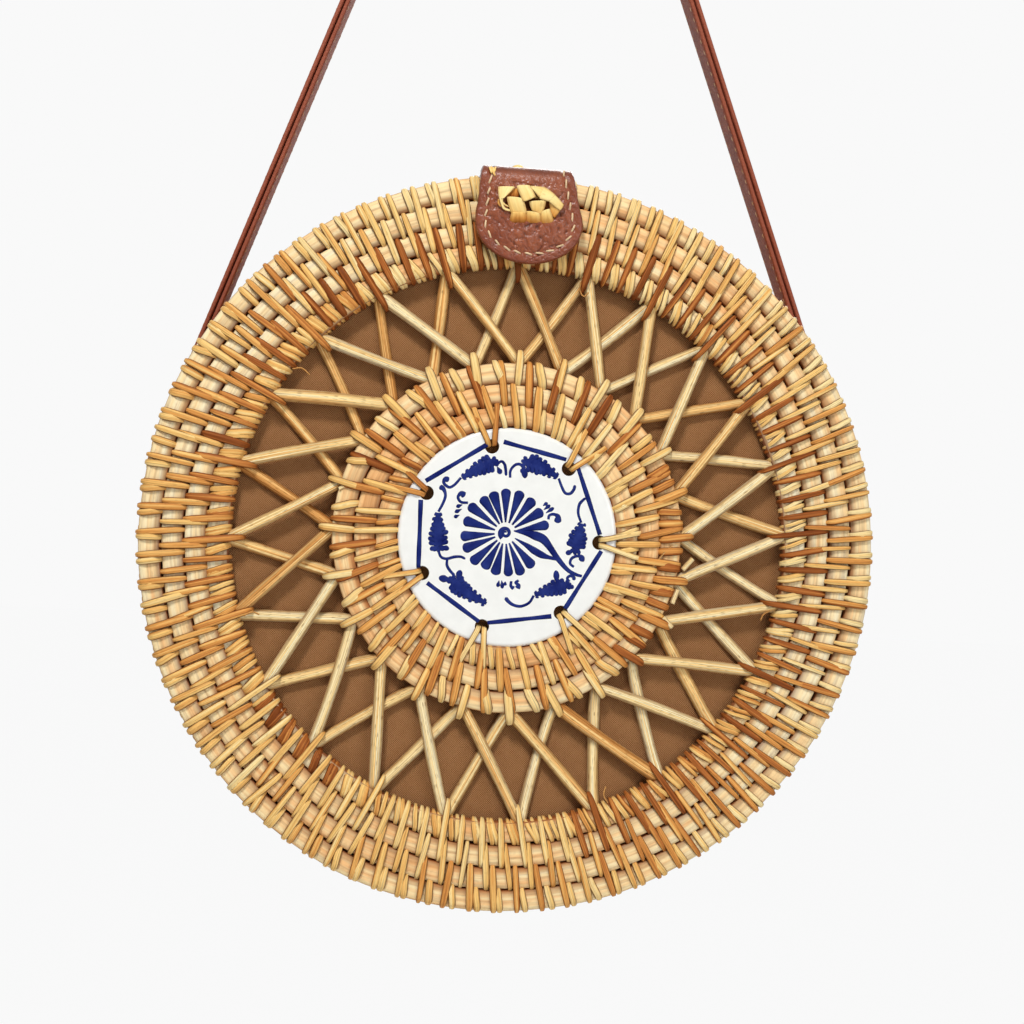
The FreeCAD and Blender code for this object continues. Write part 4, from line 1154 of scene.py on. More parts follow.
def paintSpray(base, middle, tip, wide, count):
    # A leaf: a core along the rib, round lobes on both sides, shorter towards the tip, and three at the base
    rib = smoothLine([base, middle, tip], 40)
    core = np.interp(np.linspace(0, 1, 20), [0, 0.25, 0.7, 1], [0.9, 1.5, 1.15, 0.35])
    shapes = [brush(rib[None, ::2], wide * core[None])]
    wide = wide * 1.2
    spot = np.linspace(1, 35, count).astype(int)
    ahead = unit(rib[np.minimum(spot + 2, 39)] - rib[np.maximum(spot - 2, 0)])
    size = np.interp(np.linspace(0, 1, count), [0, 0.3, 1], [0.95, 1, 0.42]) * wide
    for side in (1, -1):
        aside = np.stack([-ahead[:, 1], ahead[:, 0]], -1) * side
        tips = rib[spot] + (aside * 0.95 + ahead * 0.45) * size[:, None] * rng.uniform(0.88, 1.1, (count, 1))
        shapes.append(dab(rib[spot], tips, np.interp(size, [0.8, 2.4], [0.95, 1.35]), 0.74, 12))
    turn = np.array([-0.9, 0.0, 0.9])
    aside = np.array([-ahead[0, 1], ahead[0, 0]])
    spread = turn[:, None] * aside - (1 - 0.35 * np.abs(turn))[:, None] * ahead[0]
    shapes.append(dab(np.repeat(rib[2:3], 3, 0), rib[0] + spread * wide * 0.55, np.full(3, 1.2), 0.6, 12))
    return joinShapes(shapes)


def painting():
    # Straight border strokes of slightly uneven width, petals on rays, an even spiral, and single strokes
    ends = np.array(paint["border"])
    t = np.linspace(0, 1, 14)[:, None]
    sides = ends[:, :1] * (1 - t) + ends[:, 1:] * t
    uneven = 1 + 0.1 * np.sin(np.linspace(0, 9, 14) + np.arange(len(ends))[:, None] * 2)
    shapes = [brush(sides, paint["line"] * uneven)]
    middle = np.array(paint["flower"])
    a = np.radians(np.array(paint["petals"]) + jitter(len(paint["petals"]), 0.6))
    ray = np.stack([np.cos(a), np.sin(a)], -1)
    reach = paint["petalTo"] + jitter(len(a), 0.25)
    width = np.full(len(a), paint["petalWidth"]) + jitter(len(a), 0.1)
    shapes.append(dab(middle + ray * paint["petalFrom"], middle + ray * reach[:, None], width, 0.87))
    for points, widths in paint["stems"]:
        shapes.append(brush(smoothLine(points, 40)[None], widthsAlong(widths, 40)[None]))
    spin = np.linspace(0.6, 10.4, 48)
    whorl = np.stack([np.cos(spin), np.sin(spin)], -1) * np.linspace(0.25, 1.6, 48)[:, None]
    shapes.append(brush((middle + whorl)[None], np.linspace(0.55, 1.2, 48)[None]))
    shapes += [paintSpray(*spray) for spray in paint["sprays"]]
    for *points, drop in paint["tendrils"]:
        width = np.interp(np.linspace(0, 1, 28), [0, 0.6, 0.84, 0.92, 0.97, 1],
                          [0.7, 0.85, 0.85 * drop + 0.1, drop, drop * 0.8, drop * 0.3])
        shapes.append(brush(smoothLine(points, 28)[None], width[None]))
    for start, end, width in paint["dabs"]:
        shapes.append(dab(np.array([start]), np.array([end]), np.array([width]), 0.6, 14))
    return joinShapes(shapes)


putMesh("medallion_painting", painting(), cobaltFinish, "lid")
for name, finish in (("ceramic_medallion", glazeFinish), ("snap_stud", brassFinish),
                     ("snap_socket", brassFinish)):
    nodes[name].data.materials.clear()
    nodes[name].data.materials.append(finish)
print("medallion tied")

# Strap: two layers along the wall, off it as a tangent, over the peg and down again
strap = dict(width=12.0, layer=1.5, layerGap=0.1, inside=1.3 - coilSwell, lean=20.3, peg=12.0, onWall=45.0,
             blendReach=13.0, stitchGap=3.3, stitchLength=2.5, stitchEdge=1.7, threadWidth=0.7,
             threadThick=0.5, threadSunk=0.16, threadDip=1.4, wallPoints=30, runPoints=60, bendPoints=18,
             lash=dict(at=(6.0, 14.0, 22.0), apart=0.013, splay=0.02, proud=0.15, reach=4.2, width=1.35,
                       thick=0.75, tone=0.35, toneSpread=0.12, dives=(2.8, 2.8), bend=1.0))
bendSpot = jointSpot("strap_swing")
strapY = bendSpot[1]


def strapPath(distance, count):
    # Left half from its end on the wall to the top of the bend, then mirrored. All offsets of one line.
    lean = math.radians(strap["lean"])
    inside = coilRadius + strap["inside"]
    pegZ = (inside - strap["peg"]) / math.sin(lean)
    out = np.array([-math.cos(lean), 0, math.sin(lean)])
    onWall = np.linspace(lean - strap["onWall"] / inside, lean, strap["wallPoints"], endpoint=False)
    arc1 = np.stack([-np.cos(onWall) * distance, 0 * onWall, np.sin(onWall) * distance], -1)
    pegOut = distance - pegZ * math.sin(lean)
    top = np.array([0, 0, pegZ]) + out * pegOut
    run = out * distance + (top - out * distance) * np.linspace(0, 1, count, endpoint=False)[:, None]
    swing = np.linspace(lean, math.pi / 2, strap["bendPoints"])
    arc2 = np.stack([-np.cos(swing) * pegOut, 0 * swing, pegZ + np.sin(swing) * pegOut], -1)
    half = np.concatenate([arc1, run, arc2])
    full = np.concatenate([half, half[-2::-1] * np.array([-1, 1, 1])])
    return full + np.array([bagMid[0], strapY, bagMid[2]])


def strapUps(path):
    # Square to the strap's run and to its width, which is along Y
    return np.cross(unit(np.gradient(path, axis=0)), np.array([0, 1.0, 0]))


def layerMiddle(number):
    return coilRadius + strap["inside"] + strap["layer"] * (number + 0.5) + strap["layerGap"] * number


def strapLayer(number):
    # A squarish section carried along the strap's line at the layer's distance from the wall
    path = strapPath(layerMiddle(number), strap["runPoints"])
    section = roundBar(28, 5.0)
    edge = np.broadcast_to((np.abs(section[:, 0]) * 2) ** 24, (1, len(path), len(section)))
    shape = sweep(path[None], strapUps(path)[None], section, strap["width"], strap["layer"])
    shape["marks"]["edge"] = np.clip(edge, 0, 1).ravel()
    return shape


def strapStitches():
    # Short bars at even steps along both edges of each layer's outer face, their ends sunk by a parabola
    shapes = []
    for number, outside in ((0, -1), (1, 1)):
        path = strapPath(layerMiddle(number) + outside * strap["layer"] / 2, 400)
        length = runLength(path)
        ups = strapUps(path) * outside
        n = int(length[-1] / strap["stitchGap"]) - 2
        t = np.linspace(-0.5, 0.5, 5)
        at = (strap["stitchGap"] * (np.arange(n) + 1.5))[:, None] + t * strap["stitchLength"]
        pts = np.stack([np.interp(at, length, path[:, i]) for i in range(3)], -1)
        up = unit(np.stack([np.interp(at, length, ups[:, i]) for i in range(3)], -1))
        lift = -strap["threadSunk"] - strap["threadDip"] * t ** 2
        for side in (-1, 1):
            p = pts + up * lift[:, None]
            p[..., 1] += side * (strap["width"] / 2 - strap["stitchEdge"])
            shapes.append(sweep(p, up, roundBar(6, 2.0), strap["threadWidth"], strap["threadThick"]))
    return joinShapes(shapes)


for label, number, replaced in (("strap_inside_band", 0, ("strap_inner_layer", "left_strap_end")),
                                ("strap_outside_band", 1, ("strap_outer_layer", "right_strap_end"))):
    band = putMesh(label, strapLayer(number), strapLeather, None, replaced)
    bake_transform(band)
sewing = putMesh("strap_sewing", strapStitches(), threadFinish)
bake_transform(sewing)


def lashing(top, middle, angle, lean, lash):
    # Flat strands along Y on top of the leather, down through it into the wall at both ends
    tone = lash["tone"] + jitter(len(angle), lash["toneSpread"])
    return stitches(dict(wallFace, radius=top), middle - lash["reach"], middle + lash["reach"], angle, lean,
                    lash["width"], lash["thick"], tone, lash["dives"], lash["bend"], arch=0.0)


def strapLashing(side):
    # Threes of strands laid across the strap, splayed a little
    lash = strap["lash"]
    angle = np.radians(90 - side * 90 + side * (strap["lean"] - np.array(lash["at"])))
    three = np.tile([-1.0, 0.0, 1.0], len(angle))
    angle = np.repeat(angle, 3) + three * lash["apart"]
    top = coilRadius + strap["inside"] + 2 * strap["layer"] + lash["proud"]
    return lashing(top, strapY, angle, lash["splay"] * three, lash)


for label, side in (("left", -1), ("right", 1)):
    putMesh(label + "_lashing_strands", strapLashing(side), strandFinish, "back_half",
            (label + "_strap_lashing",))
print("strap hung")

# Flap: one doubled leather tongue from its lashed end over the top and down the front
flap = dict(thick=2.05, topWidth=24.8, width=29.2, drop=26.2, round=11.2, skew=1.2, turn=1.1,
            clear=0.5 - coilSwell, standoff=3.4, fold=1.8, hingeY=2.5, baseLength=21.3, runPoints=60,
            foldPoints=14, blendReach=2.5, sewIn=2.7, sewGap=3.0, sewLength=2.05, sewSlant=0.55,
            threadWidth=0.54, threadThick=0.5,
            groove=0.26, grooveWidth=0.55, pillow=0.3, edgeRound=0.55, wrinkles=((1.9, 0.5), (1.15, 1.2)),
            wrinkleRise=0.85,
            lash=dict(at=(-5.1, -3.6, 2.8, 4.4), past=0.3, proud=0.1, reach=4.6, width=1.6, thick=0.8,
                      tone=0.25, toneSpread=0.08, dives=(2.6, 2.6), bend=1.0))


def turnFlap(points):
    # Drawn upright over the bag's centre, then turned about the bag's axis
    a = math.radians(flap["turn"])
    p = points - np.array([bagMid[0], 0, bagMid[2]])
    x = p[..., 0] * math.cos(a) + p[..., 2] * math.sin(a)
    z = -p[..., 0] * math.sin(a) + p[..., 2] * math.cos(a)
    return np.stack([x + bagMid[0], p[..., 1], z + bagMid[2]], -1)


def flapLine():
    # Middle line of the leather as (y, z): straight from the back end, a quarter circle at the fold, and
    # straight down to the tip. Gives the line, distances along it and its outward direction.
    depth = flap["thick"] / 2
    inZ = coilRadius + flap["clear"] + bagMid[2]
    inY = frontY - flap["standoff"]
    rear = partingY + flap["hingeY"] + flap["baseLength"]
    f = flap["fold"] + depth
    foldY, foldZ = inY + flap["fold"], inZ - flap["fold"]
    tipZ = inZ + flap["thick"] - flap["drop"]
    count = flap["runPoints"]
    top = np.stack([np.linspace(rear, foldY, count, endpoint=False), np.full(count, inZ + depth)], -1)
    a = np.linspace(math.pi / 2, math.pi, flap["foldPoints"])
    bend = np.stack([np.cos(a), np.sin(a)], -1)
    arc = np.array([foldY, foldZ]) + f * bend
    front = np.stack([np.full(count, inY - depth), np.linspace(foldZ, tipZ, count + 1)[1:]], -1)
    line = np.concatenate([top, arc, front])
    normal = np.concatenate([np.tile([0.0, 1.0], (count, 1)), bend, np.tile([-1.0, 0.0], (count, 1))])
    return line, runLength(line), normal


def flapPlace(x, s, lift):
    # A point x across and s along the leather, lifted off its middle line. Gives its place and way out.
    line, length, normal = flapLine()
    y, z = (np.interp(s, length, line[:, i]) for i in (0, 1))
    n = unit(np.stack([np.interp(s, length, normal[:, i]) for i in (0, 1)], -1))
    return turnFlap(np.stack([bagMid[0] + x, y + n[..., 0] * lift, z + n[..., 1] * lift], -1)), n


def flapStations():
    # Distances along to the middle of the fold and to where the tip starts to round
    length = flapLine()[1]
    return length[flap["runPoints"] + flap["foldPoints"] // 2 - 1], length[-1] - flap["round"]


def flapSpan(s, foldS, roundFrom):
    # Half-width and middle: straight over the top, then widening and drifting right as far as the round tip
    stops = [0, foldS, roundFrom]
    return (np.interp(s, stops, [flap["topWidth"] / 2, flap["topWidth"] / 2, flap["width"] / 2]),
            np.interp(s, stops, [-flap["skew"], -flap["skew"], 0]))


def smoothNoise(x, s, cell, turn, seed):
    # Random heights on a turned square grid, joined by 3 f^2 - 2 f^3 along both of its axes
    cells = 256
    table = np.random.default_rng(seed).uniform(-1, 1, (cells, cells))
    gx = cells // 2 + (x * math.cos(turn) + s * math.sin(turn)) / cell
    gs = cells // 2 + (s * math.cos(turn) - x * math.sin(turn)) / cell
    i, j = np.floor(gx).astype(int), np.floor(gs).astype(int)
    fx, fs = ((f * f * (3 - 2 * f)) for f in (gx - i, gs - j))
    low = table[i, j] * (1 - fx) + table[i + 1, j] * fx
    high = table[i, j + 1] * (1 - fx) + table[i + 1, j + 1] * fx
    return low * (1 - fs) + high * fs


def wrinkles(x, s, cell, turn, seed):
    # Leather grain: creases along the lines where a bent noise is zero, rounded up to flat tops between them
    bend = 0.5 * cell
    bentX = x + bend * smoothNoise(x, s, cell, turn, seed + 20)
    bentS = s + bend * smoothNoise(x, s, cell, turn, seed + 40)
    away = np.clip(np.abs(smoothNoise(bentX, bentS, cell, turn, seed)) / 0.34, 0, 1)
    return 1 - (1 - away) ** 2


def flapSheet():
    # A flat bar carried along the flap's line, drawn in on half an ellipse at the tip. By how far in from the
    # edge a point is, its faces round off, sink in a bell-shaped groove at the seam, and rise in a pillow and
    # wrinkles.
    foldS, roundFrom = flapStations()
    half, tall, sewIn = flap["width"] / 2, flap["round"], flap["sewIn"]
    s = np.concatenate([np.linspace(0, foldS - 8, 60), np.linspace(foldS - 8, roundFrom, 100)[1:],
                        roundFrom + tall * np.sin(np.linspace(0, np.pi / 2, 60)[1:]) - 1e-3])
    width, middle = flapSpan(s, foldS, roundFrom)
    past = np.maximum(s - roundFrom, 0) / tall
    uneven = 1 + 0.006 * np.sin(s * 0.7) + 0.004 * np.sin(s * 1.9 + 1)
    w = width * np.sqrt(np.maximum(1 - past ** 2, 1e-4)) * uneven
    bar = flatBar(112, 40, 9.0)
    x = middle[:, None] + 2 * bar[:, 0] * w[:, None]
    # how far in from the leather's edge, sideways, or towards the tip's centre on the round tip
    down = (s - roundFrom)[:, None] + 0 * x
    share = np.maximum(np.hypot(x / half, down / tall), 1e-6)
    sideways = w[:, None] - np.abs(x - middle[:, None])
    edgeGap = np.where(down <= 0, sideways, np.hypot(x, down) * (1 / share - 1))
    tipRound = np.clip(edgeGap / flap["edgeRound"], 0, 1)
    onFace, onTop = np.abs(bar[:, 1]) > 0.3, bar[:, 1] > 0
    front = np.clip((s - foldS - 1.5)[:, None] / 3, 0, 1)
    groove = flap["groove"] * np.exp(-((edgeGap - sewIn) / flap["grooveWidth"]) ** 2)
    pillow = flap["pillow"] * np.clip((edgeGap - sewIn) / 3, 0, 1) * front
    along = s[:, None] + 0 * x
    coarse, fine = (wrinkles(x, along, *sizes, 5 + number) for number, sizes in enumerate(flap["wrinkles"]))
    grain = coarse * 0.55 + fine * 0.45
    patchy = 0.5 + 0.5 * smoothNoise(x, along, 6.0, 0.4, 9)
    inner = 0.7 + 0.3 * np.clip((edgeGap - sewIn) / 1.5, 0, 1)
    strength = np.clip(edgeGap / 0.7, 0, 1) * inner * (0.12 + 0.88 * front) * (0.6 + 0.4 * patchy)
    raised = flap["wrinkleRise"] * (grain - 0.6) * strength
    lift = bar[:, 1] * flap["thick"] * np.sqrt(1 - (1 - tipRound) ** 2 * 0.9)
    lift = lift + np.where(onFace, np.sign(bar[:, 1]) * (raised - groove), 0)
    lift = lift + np.where(onFace & onTop, pillow, 0)
    points, _ = flapPlace(x, along, lift)
    shape = loft(points[None], s[None], False)
    # Painted shade in the crease mark: darker in the wrinkles' creases, and in a band over the top of the
    # fold that faces up
    foldShadeBand = np.exp(-((s - foldS + 0.5) / 1.7) ** 4)[:, None]
    creaseShade = np.clip(1 - grain * 1.3, 0, 1) * (0.1 + 0.9 * strength) + 0.45 * foldShadeBand
    shape["marks"] = dict(edge=np.clip(1.1 - edgeGap / sewIn, 0, 1).ravel(), creaseShade=creaseShade.ravel())
    return shape


def flapSewing():
    # Short bars at even steps along a line inside the edge, down one side, round the tip on half an ellipse
    # and up the other. Each slants a little across the line and sinks at its ends by a parabola.
    foldS, roundFrom = flapStations()
    down = np.linspace(foldS - 1.6, roundFrom, 120)
    width, middle = flapSpan(down, foldS, roundFrom)
    sideX = width - flap["sewIn"]
    a = np.linspace(0, np.pi, 160)[1:-1]
    tipX, tipS = flap["width"] / 2 - flap["sewIn"], flap["round"] - flap["sewIn"]
    x = np.concatenate([middle + sideX, tipX * np.cos(a), (middle - sideX)[::-1]])
    s = np.concatenate([down, roundFrom + tipS * np.sin(a), down[::-1]])
    run = np.concatenate([[0], np.cumsum(np.hypot(np.diff(x), np.diff(s)))])
    n = int(run[-1] / flap["sewGap"])
    spot = flap["sewGap"] * (np.arange(n) + 0.5)
    t = np.linspace(-0.5, 0.5, 9)
    at = spot[:, None] + t * flap["sewLength"] * rng.uniform(0.86, 1.08, (n, 1))
    aheadX, aheadS = (np.interp(spot + 0.2, run, v) - np.interp(spot - 0.2, run, v) for v in (x, s))
    norm = np.hypot(aheadX, aheadS)
    px = np.interp(at, run, x) + (-aheadS / norm)[:, None] * t * flap["sewSlant"]
    ps = np.interp(at, run, s) + (aheadX / norm)[:, None] * t * flap["sewSlant"]
    points, n2 = flapPlace(px, ps, flap["thick"] / 2 + 0.14 - 1.9 * t ** 2 + 0 * px)
    axis = np.array([bagMid[0], 0, bagMid[2]])
    ups = turnFlap(np.stack([bagMid[0] + 0 * px, n2[..., 0], bagMid[2] + n2[..., 1]], -1)) - axis
    return sweep(points, ups, roundBar(8, 2.0), flap["threadWidth"], flap["threadThick"])


def flapLooseStrands():
    # A frayed end of strand where the left seam starts, and a loop of it that stands up behind the fold, both
    # lifted along their length by half a sine wave
    foldS, roundFrom = flapStations()
    width, middle = flapSpan(foldS, foldS, roundFrom)
    seam = middle - width + flap["sewIn"] + 0.3
    out = flap["thick"] / 2
    t = np.linspace(0, 1, 8)
    rise = np.sin(t * np.pi)
    frays = ((-1.0, 0.1, 0.7), (-0.5, -0.2, 0.6), (0.1, 0.2, 0.3), (0.7, -0.1, -0.3), (-0.3, 0.6, 0.9))
    lines = [flapPlace(seam + dx + slant * t, foldS + ds + 1.5 * t, out + 0.1 + 0.25 * rise)[0]
             for dx, ds, slant in frays]
    lines.append(flapPlace(-5.2 + 3.0 * t, foldS - 4.5 + 0.6 * t, out - 0.8 + 1.5 * rise ** 0.6)[0])
    paths = np.array(lines)
    ups = np.broadcast_to(np.array([0, -0.6, 0.8]), paths.shape)
    width = np.array([0.7, 0.6, 0.6, 0.6, 0.7, 2.2])[:, None] * np.array([0.5, 0.9, 1, 1, 1, 1, 0.8, 0.4])
    tone = np.array([0.2, 0.35, 0.15, 0.3, 0.4, 0.1])[:, None]
    return sweep(paths, ups, roundBar(8, 2.4), width, 0.4, marks=dict(tone=tone))


tongue = putMesh("flap_tongue", flapSheet(), flapLeather, None,
                 ("flap_base", "flap_inner_leather", "flap_outer_leather"))
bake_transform(tongue)
putMesh("flap_sewing", flapSewing(), threadFinish, "flap")
putMesh("flap_loose_strands", flapLooseStrands(), knotFinish, "flap")


def flapBaseLashing():
    # Strands side by side along the leather's lashed end
    lash = flap["lash"]
    x = np.array(lash["at"]) - flap["skew"]
    middle = partingY + flap["hingeY"] + lash["past"] + flap["baseLength"] / 2
    top = coilRadius + flap["clear"] + flap["thick"] + lash["proud"]
    return lashing(top, middle, math.pi / 2 - math.radians(flap["turn"]) - x / top, 0.0, lash)


putMesh("flap_base_strands", flapBaseLashing(), strandFinish, "back_half",
        ("flap_base_lashings",))

# Knot: flat strip plaited over the snap, in facets where it lies flat and threads where it is split.
# A facet is four corners (right, up, height) from the knot's middle, the first two and the last two across
# the strip, then its bulge and its tones at both ends. A thread is points, widths and tone.
knot = dict(
    thick=0.3, turn=2.4, round=0.13, grow=1.08, puff=1.25, settle=0.95, steps=12, threadPoints=32,
    across=(-1, -0.86, -0.68, -0.44, -0.2, 0, 0.2, 0.44, 0.68, 0.86, 1),
    # The first facet, low under the others and at the darkest tone, is a dark sheet of painted shade seen
    # through the holes of the plait. The wraps along the bottom darken towards their lower ends as painted
    # shade.
    facets=((((-6.6, 2.5, 0.8), (5.8, 0.9, 0.8), (5.1, -2.6, 0.8), (-5.4, -2.6, 0.8)), 0, (1, 1)),
            (((-5.4, 4.1, 1.5), (-3.4, 4, 1.6), (-3.3, 1.8, 1.7), (-6.5, 1.6, 1.4)), 0.1, (0.6, 0.8)),
            (((-5.2, -2.4, 1.8), (-1.4, -2.4, 1.8), (-1, -5, 0.3), (-5.6, -4.8, 0.3)), 0.6, (0.3, 0.75)),
            (((-1.3, -2, 1.8), (2.4, -2.5, 1.8), (2.8, -4.9, 0.3), (-1, -4.9, 0.3)), 0.7, (0.16, 0.66)),
            (((2.6, -2.3, 1.8), (5.1, -1.3, 1.8), (6.3, -4.8, 0.3), (2.6, -5, 0.3)), 0.7, (0.1, 0.6)),
            (((4.9, 0.5, 1.9), (7.9, -1.6, 1.8), (6.4, -3.6, 0.9), (5.3, -2.1, 1.2)), 0.15, (0.36, 0.6)),
            (((-6.5, 1.7, 2), (-2.2, 1.3, 2.5), (-1.1, -2.5, 1.7), (-5.1, -2.9, 1.3)), 0.45, (0.1, 0.3)),
            (((-0.5, 0.5, 2.3), (4, 0.7, 2.7), (3.1, -2.7, 1.6), (0.3, -1.9, 1.6)), 0.3, (0.08, 0.34)),
            (((-3.9, 4.7, 2), (-0.3, 4.8, 2.3), (1.2, 1.7, 2.8), (-2.1, 0.4, 2.7)), 0.55, (0.02, 0.2)),
            (((-0.1, 4.7, 2.2), (0.7, 3.3, 2.4), (2.4, 1.4, 2.8), (3.7, 4.3, 2.6)), 0.3, (0.06, 0.2)),
            (((3.5, 4.4, 2.6), (2.2, 1.2, 2.9), (4.8, 0.5, 2.8), (6.4, 2.4, 2.5)), 0.3, (0.12, 0)),
            (((6.2, 2.5, 2.5), (4.6, 0.6, 2.8), (7.7, -1.8, 2), (8.8, -0.2, 1.9)), 0.3, (0, 0.2)),
            (((-8.8, 4.4, 2.1), (-4.2, 4.4, 2.2), (-7.1, 1.4, 2.5), (-8.5, 1, 2.1)), 0.15, (0, 0.12))),
    threads=((((-8, 1.6, 2.2), (-7.8, 0.1, 2), (-7.1, -1.3, 1.6), (-5.4, -1.8, 1)),
              (1.1, 0.75, 0.7, 0.55), 0.04),
             (((-8.6, 1.2, 1.5), (-8.6, 0.2, 1.3), (-8.1, -0.7, 1)), (0.5, 0.6, 0.4), 0.5),
             (((-7.5, 0.3, 1.6), (-6.9, -0.3, 1.5), (-5.8, -0.8, 1)), (0.5, 0.45, 0.35), 0.12)))


def knotPlace(points):
    # Right and up turned about the knot's middle, and height out from the leather
    low, high = nodeBox("flap_knot")
    u, v, h = points[..., 0], points[..., 1], points[..., 2]
    return turnedPlace((low + high) / 2, knot["turn"], u, v, high[1] - h * knot["settle"])


def knotFacet(corners, bulge, tones):
    # Height between the corners is bilinear, plus bulge * (1 - wide^2) across the strip, most in the middle
    # of its length. The corners are rounded as a square is squeezed towards a circle.
    c = np.array(corners)
    run = np.linspace(-1, 1, knot["steps"])
    long, wide = np.meshgrid(run, np.array(knot["across"]), indexing="ij")
    t = (0.5 + 0.5 * knot["grow"] * long * np.sqrt(1 - knot["round"] * wide ** 2))[..., None]
    w = (0.5 + 0.5 * knot["grow"] * wide * np.sqrt(1 - knot["round"] * long ** 2))[..., None]
    top = (c[0] * (1 - w) + c[1] * w) * (1 - t) + (c[3] * (1 - w) + c[2] * w) * t
    top[..., 2] += bulge * knot["puff"] * (1 - wide ** 2) * (0.4 + 0.6 * np.cos(np.pi / 2 * long))
    under = top[:, ::-1] - np.array([0, 0, knot["thick"]])
    along = np.linalg.norm(c[3] - c[0]) * (run + 1) / 2 + rng.uniform(0, 400)
    tone = np.linspace(*tones, len(run))[None, :, None]
    return loft(knotPlace(np.concatenate([top, under], 1))[None], along[None], False, dict(tone=tone))


def knotThread(points, widths, tone):
    # A flat section carried along a smooth line, its width given along it
    path = knotPlace(smoothLine(points, knot["threadPoints"]))[None]
    width = widthsAlong(widths, knot["threadPoints"])
    return sweep(path, facing(path, 1, -1), flatBar(11, 11, 9.0), width[None], knot["thick"],
                 marks=dict(tone=np.full((1, 1), tone)))


knotShapes = [knotFacet(*facet) for facet in knot["facets"]]
knotShapes += [knotThread(*thread) for thread in knot["threads"]]
putMesh("knot_strips", joinShapes(knotShapes), knotFinish, "flap", ("flap_knot",))
print("flap sewn")

# Hinge: loops of strand round a cane, tails laid on the wall
hinge = dict(loopWidth=5.2, gap=0.6, loops=5, tail=14.0, strands=(-1.75, 0, 1.75), strandWidth=1.7,
             strandThick=0.9, standOff=0.55, wind=1.75, tailLift=(1.6, 0.7, 0.15), tone=0.35, toneSpread=0.12,
             caneTone=0.5, caneSwell=0.03)
caneLow, caneHigh = nodeBox("hinge_cane")


def hingeLoops(side):
    # Each strand runs straight along the wall to the cane and then round it on a circle, by almost a whole
    # turn. Loops of the back half and of the lid take turns along the cane.
    axis = jointSpot("lid_open")
    radius = (caneHigh[2] - caneLow[2]) / 2 + hinge["standOff"]
    tailY = np.linspace(hinge["tail"], 0.3, 12)
    a = np.linspace(0, hinge["wind"] * np.pi, 30)
    y = np.concatenate([side * tailY, -side * radius * np.sin(a)])
    z = np.concatenate([np.full(len(tailY), radius), radius * np.cos(a)])
    z[:3] += np.array(hinge["tailLift"])
    upY = np.concatenate([0 * tailY, -side * np.sin(a)])
    upZ = np.concatenate([0 * tailY + 1, np.cos(a)])
    ups = np.stack([0 * z, upY, upZ], -1)
    shapes = []
    for k in range(0 if side == 1 else 1, hinge["loops"], 2):
        x = (k - (hinge["loops"] - 1) / 2) * (hinge["loopWidth"] + hinge["gap"]) + np.array(hinge["strands"])
        paths = np.stack(np.broadcast_arrays(x[:, None], axis[1] + y, axis[2] + z), -1)
        tone = hinge["tone"] + jitter(len(x), hinge["toneSpread"])
        shapes.append(sweep(paths, np.broadcast_to(ups, paths.shape), roundBar(8, 3.0), hinge["strandWidth"],
                            hinge["strandThick"], marks=dict(tone=tone[:, None])))
    return joinShapes(shapes)


def hingeCane():
    # A circle carried along X, its size swelling a little in a sine wave
    x = np.linspace(caneLow[0], caneHigh[0], 40)
    y, z = (caneLow[1] + caneHigh[1]) / 2, (caneLow[2] + caneHigh[2]) / 2
    path = np.stack([x, y + 0 * x, z + 0 * x], -1)[None]
    size = (caneHigh[2] - caneLow[2]) * (1 + hinge["caneSwell"] * np.sin(x * 0.9))
    return sweep(path, facing(path, 2, 1), roundBar(14, 2.0), size[None], size[None],
                 marks=dict(tone=np.full((1, 1), hinge["caneTone"])))


putMesh("back_hinge_strands", hingeLoops(1), strandFinish, "back_half",
        ("back_hinge_loops",))
putMesh("lid_hinge_strands", hingeLoops(-1), strandFinish, "lid", ("lid_hinge_loops",))
putMesh("hinge_cane_rod", hingeCane(), rodFinish, "back_half", ("hinge_cane",))
print("hinge lashed")

# Stage: pale floor and surroundings, soft lamps, and the camera. glowShare leaves the floor its shadow.
stageLook = dict(floor=-640.0, size=6000.0, white=0.947, grey=0.9, glowShare=0.995, ambient=0.21)
lamps = dict(keyLamp=dict(spot=(-0.25, -0.8, 0.9), size=0.24, power=10.7),
             fillLamp=dict(spot=(0.6, -0.95, 0.2), size=0.7, power=3.1),
             backLamp=dict(spot=(0.3, 0.9, 0.7), size=0.7, power=6.0))


def seenRays(tree):
    # 1 for what the camera sees, straight or through gloss and glass, and 0 for what lights the object
    path = tree.nodes.new("ShaderNodeLightPath").outputs
    seen = mathNode(tree, "MAXIMUM", path["Is Camera Ray"], path["Is Glossy Ray"])
    return mathNode(tree, "MAXIMUM", seen, path["Is Transmission Ray"])


def buildFloor():
    s, z = stageLook["size"], stageLook["floor"]
    verts = np.array([(-s, -s, z), (s, -s, z), (s, s, z), (-s, s, z)])
    mesh = bpy.data.meshes.new("floor")
    mesh.from_pydata((verts * toMetres).tolist(), [], [(0, 1, 2, 3)])
    floor = bpy.data.objects.new("floor", mesh)
    bpy.context.scene.collection.objects.link(floor)
    mat, tree, shader = newFinish("paleFloor", 0.9, 0.1)
    shader.inputs["Base Color"].default_value = (stageLook["grey"], stageLook["grey"], stageLook["grey"], 1)
    glow = tree.nodes.new("ShaderNodeEmission")
    glow.inputs["Color"].default_value = (1, 1, 1, 1)
    glow.inputs["Strength"].default_value = stageLook["white"]
    mix = tree.nodes.new("ShaderNodeMixShader")
    link(tree, mathNode(tree, "MULTIPLY", seenRays(tree), stageLook["glowShare"]), mix.inputs[0])
    link(tree, shader.outputs[0], mix.inputs[1])
    link(tree, glow.outputs[0], mix.inputs[2])
    link(tree, mix.outputs[0], tree.nodes["Material Output"].inputs["Surface"])
    mesh.materials.append(mat)


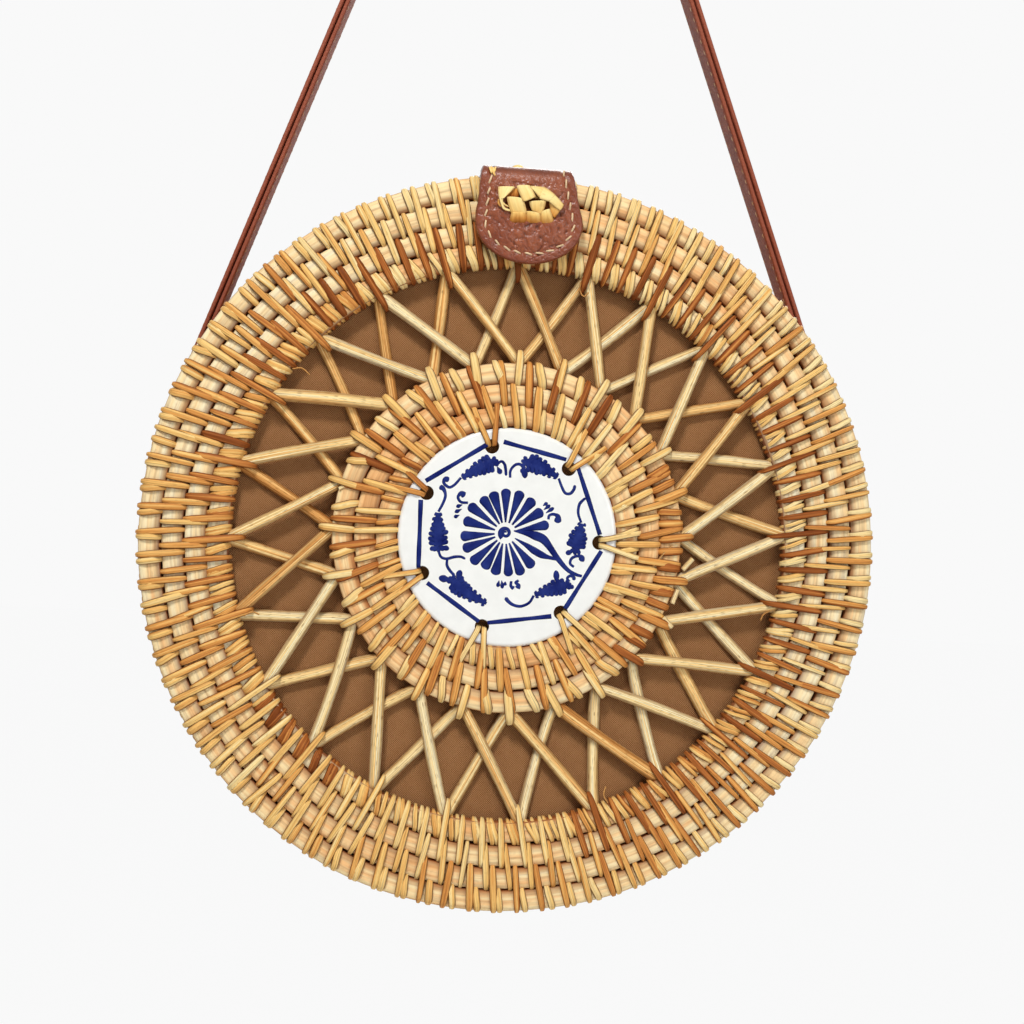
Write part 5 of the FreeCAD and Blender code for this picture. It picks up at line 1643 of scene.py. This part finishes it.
def buildWorld():
    world = bpy.data.worlds.new("studio")
    bpy.context.scene.world = world
    world.use_nodes = True
    tree = world.node_tree
    sky = tree.nodes["Background"]
    sky.inputs["Color"].default_value = (1, 1, 1, 1)
    strength = tree.nodes.new("ShaderNodeMix")
    strength.inputs[2].default_value = stageLook["ambient"]
    strength.inputs[3].default_value = stageLook["white"]
    link(tree, seenRays(tree), strength.inputs[0])
    link(tree, strength.outputs[0], sky.inputs["Strength"])


def hangLamp(name, spot, size, power):
    data = bpy.data.lights.new(name, "AREA")
    data.shape = "DISK"
    data.size = size
    data.energy = power
    thing = bpy.data.objects.new(name, data)
    target = Vector((bagMid * toMetres).tolist())
    thing.location = target + Vector(spot)
    thing.rotation_euler = (target - thing.location).to_track_quat("-Z", "Y").to_euler()
    bpy.context.scene.collection.objects.link(thing)


buildFloor()
buildWorld()
for name, lamp in lamps.items():
    hangLamp(name, **lamp)

# The photograph was taken from just left of straight ahead, with a slight roll
view = dict(distance=511.3, yaw=3.34, pitch=-0.1, roll=2.38, aside=2.88, above=8.65, plane=-33.0,
            focalPx=1884.5, imagePx=1024, sensor=36.0)


def placeCamera():
    turn = Matrix.Identity(4)
    for part, axis in (("roll", "Y"), ("pitch", "X"), ("yaw", "Z")):
        turn = turn @ Matrix.Rotation(math.radians(view[part]), 4, axis)
    spot = np.array([view["aside"], view["plane"] - view["distance"], view["above"]]) * toMetres
    upright = Matrix.Translation(spot.tolist()) @ Matrix.Rotation(math.radians(90), 4, "X")
    origin = np.array([bagMid[0], partingY, bagMid[2]]) * toMetres
    data = bpy.data.cameras.new("photoCamera")
    data.sensor_width = view["sensor"]
    data.lens = view["sensor"] * view["focalPx"] / view["imagePx"]
    data.clip_start = 0.02
    data.clip_end = 50
    camera = bpy.data.objects.new("photoCamera", data)
    camera.matrix_world = Matrix.Translation(origin.tolist()) @ turn.inverted() @ upright
    bpy.context.scene.collection.objects.link(camera)
    bpy.context.scene.camera = camera


placeCamera()
bpy.context.scene.view_settings.view_transform = "Standard"
print("stage and camera set")
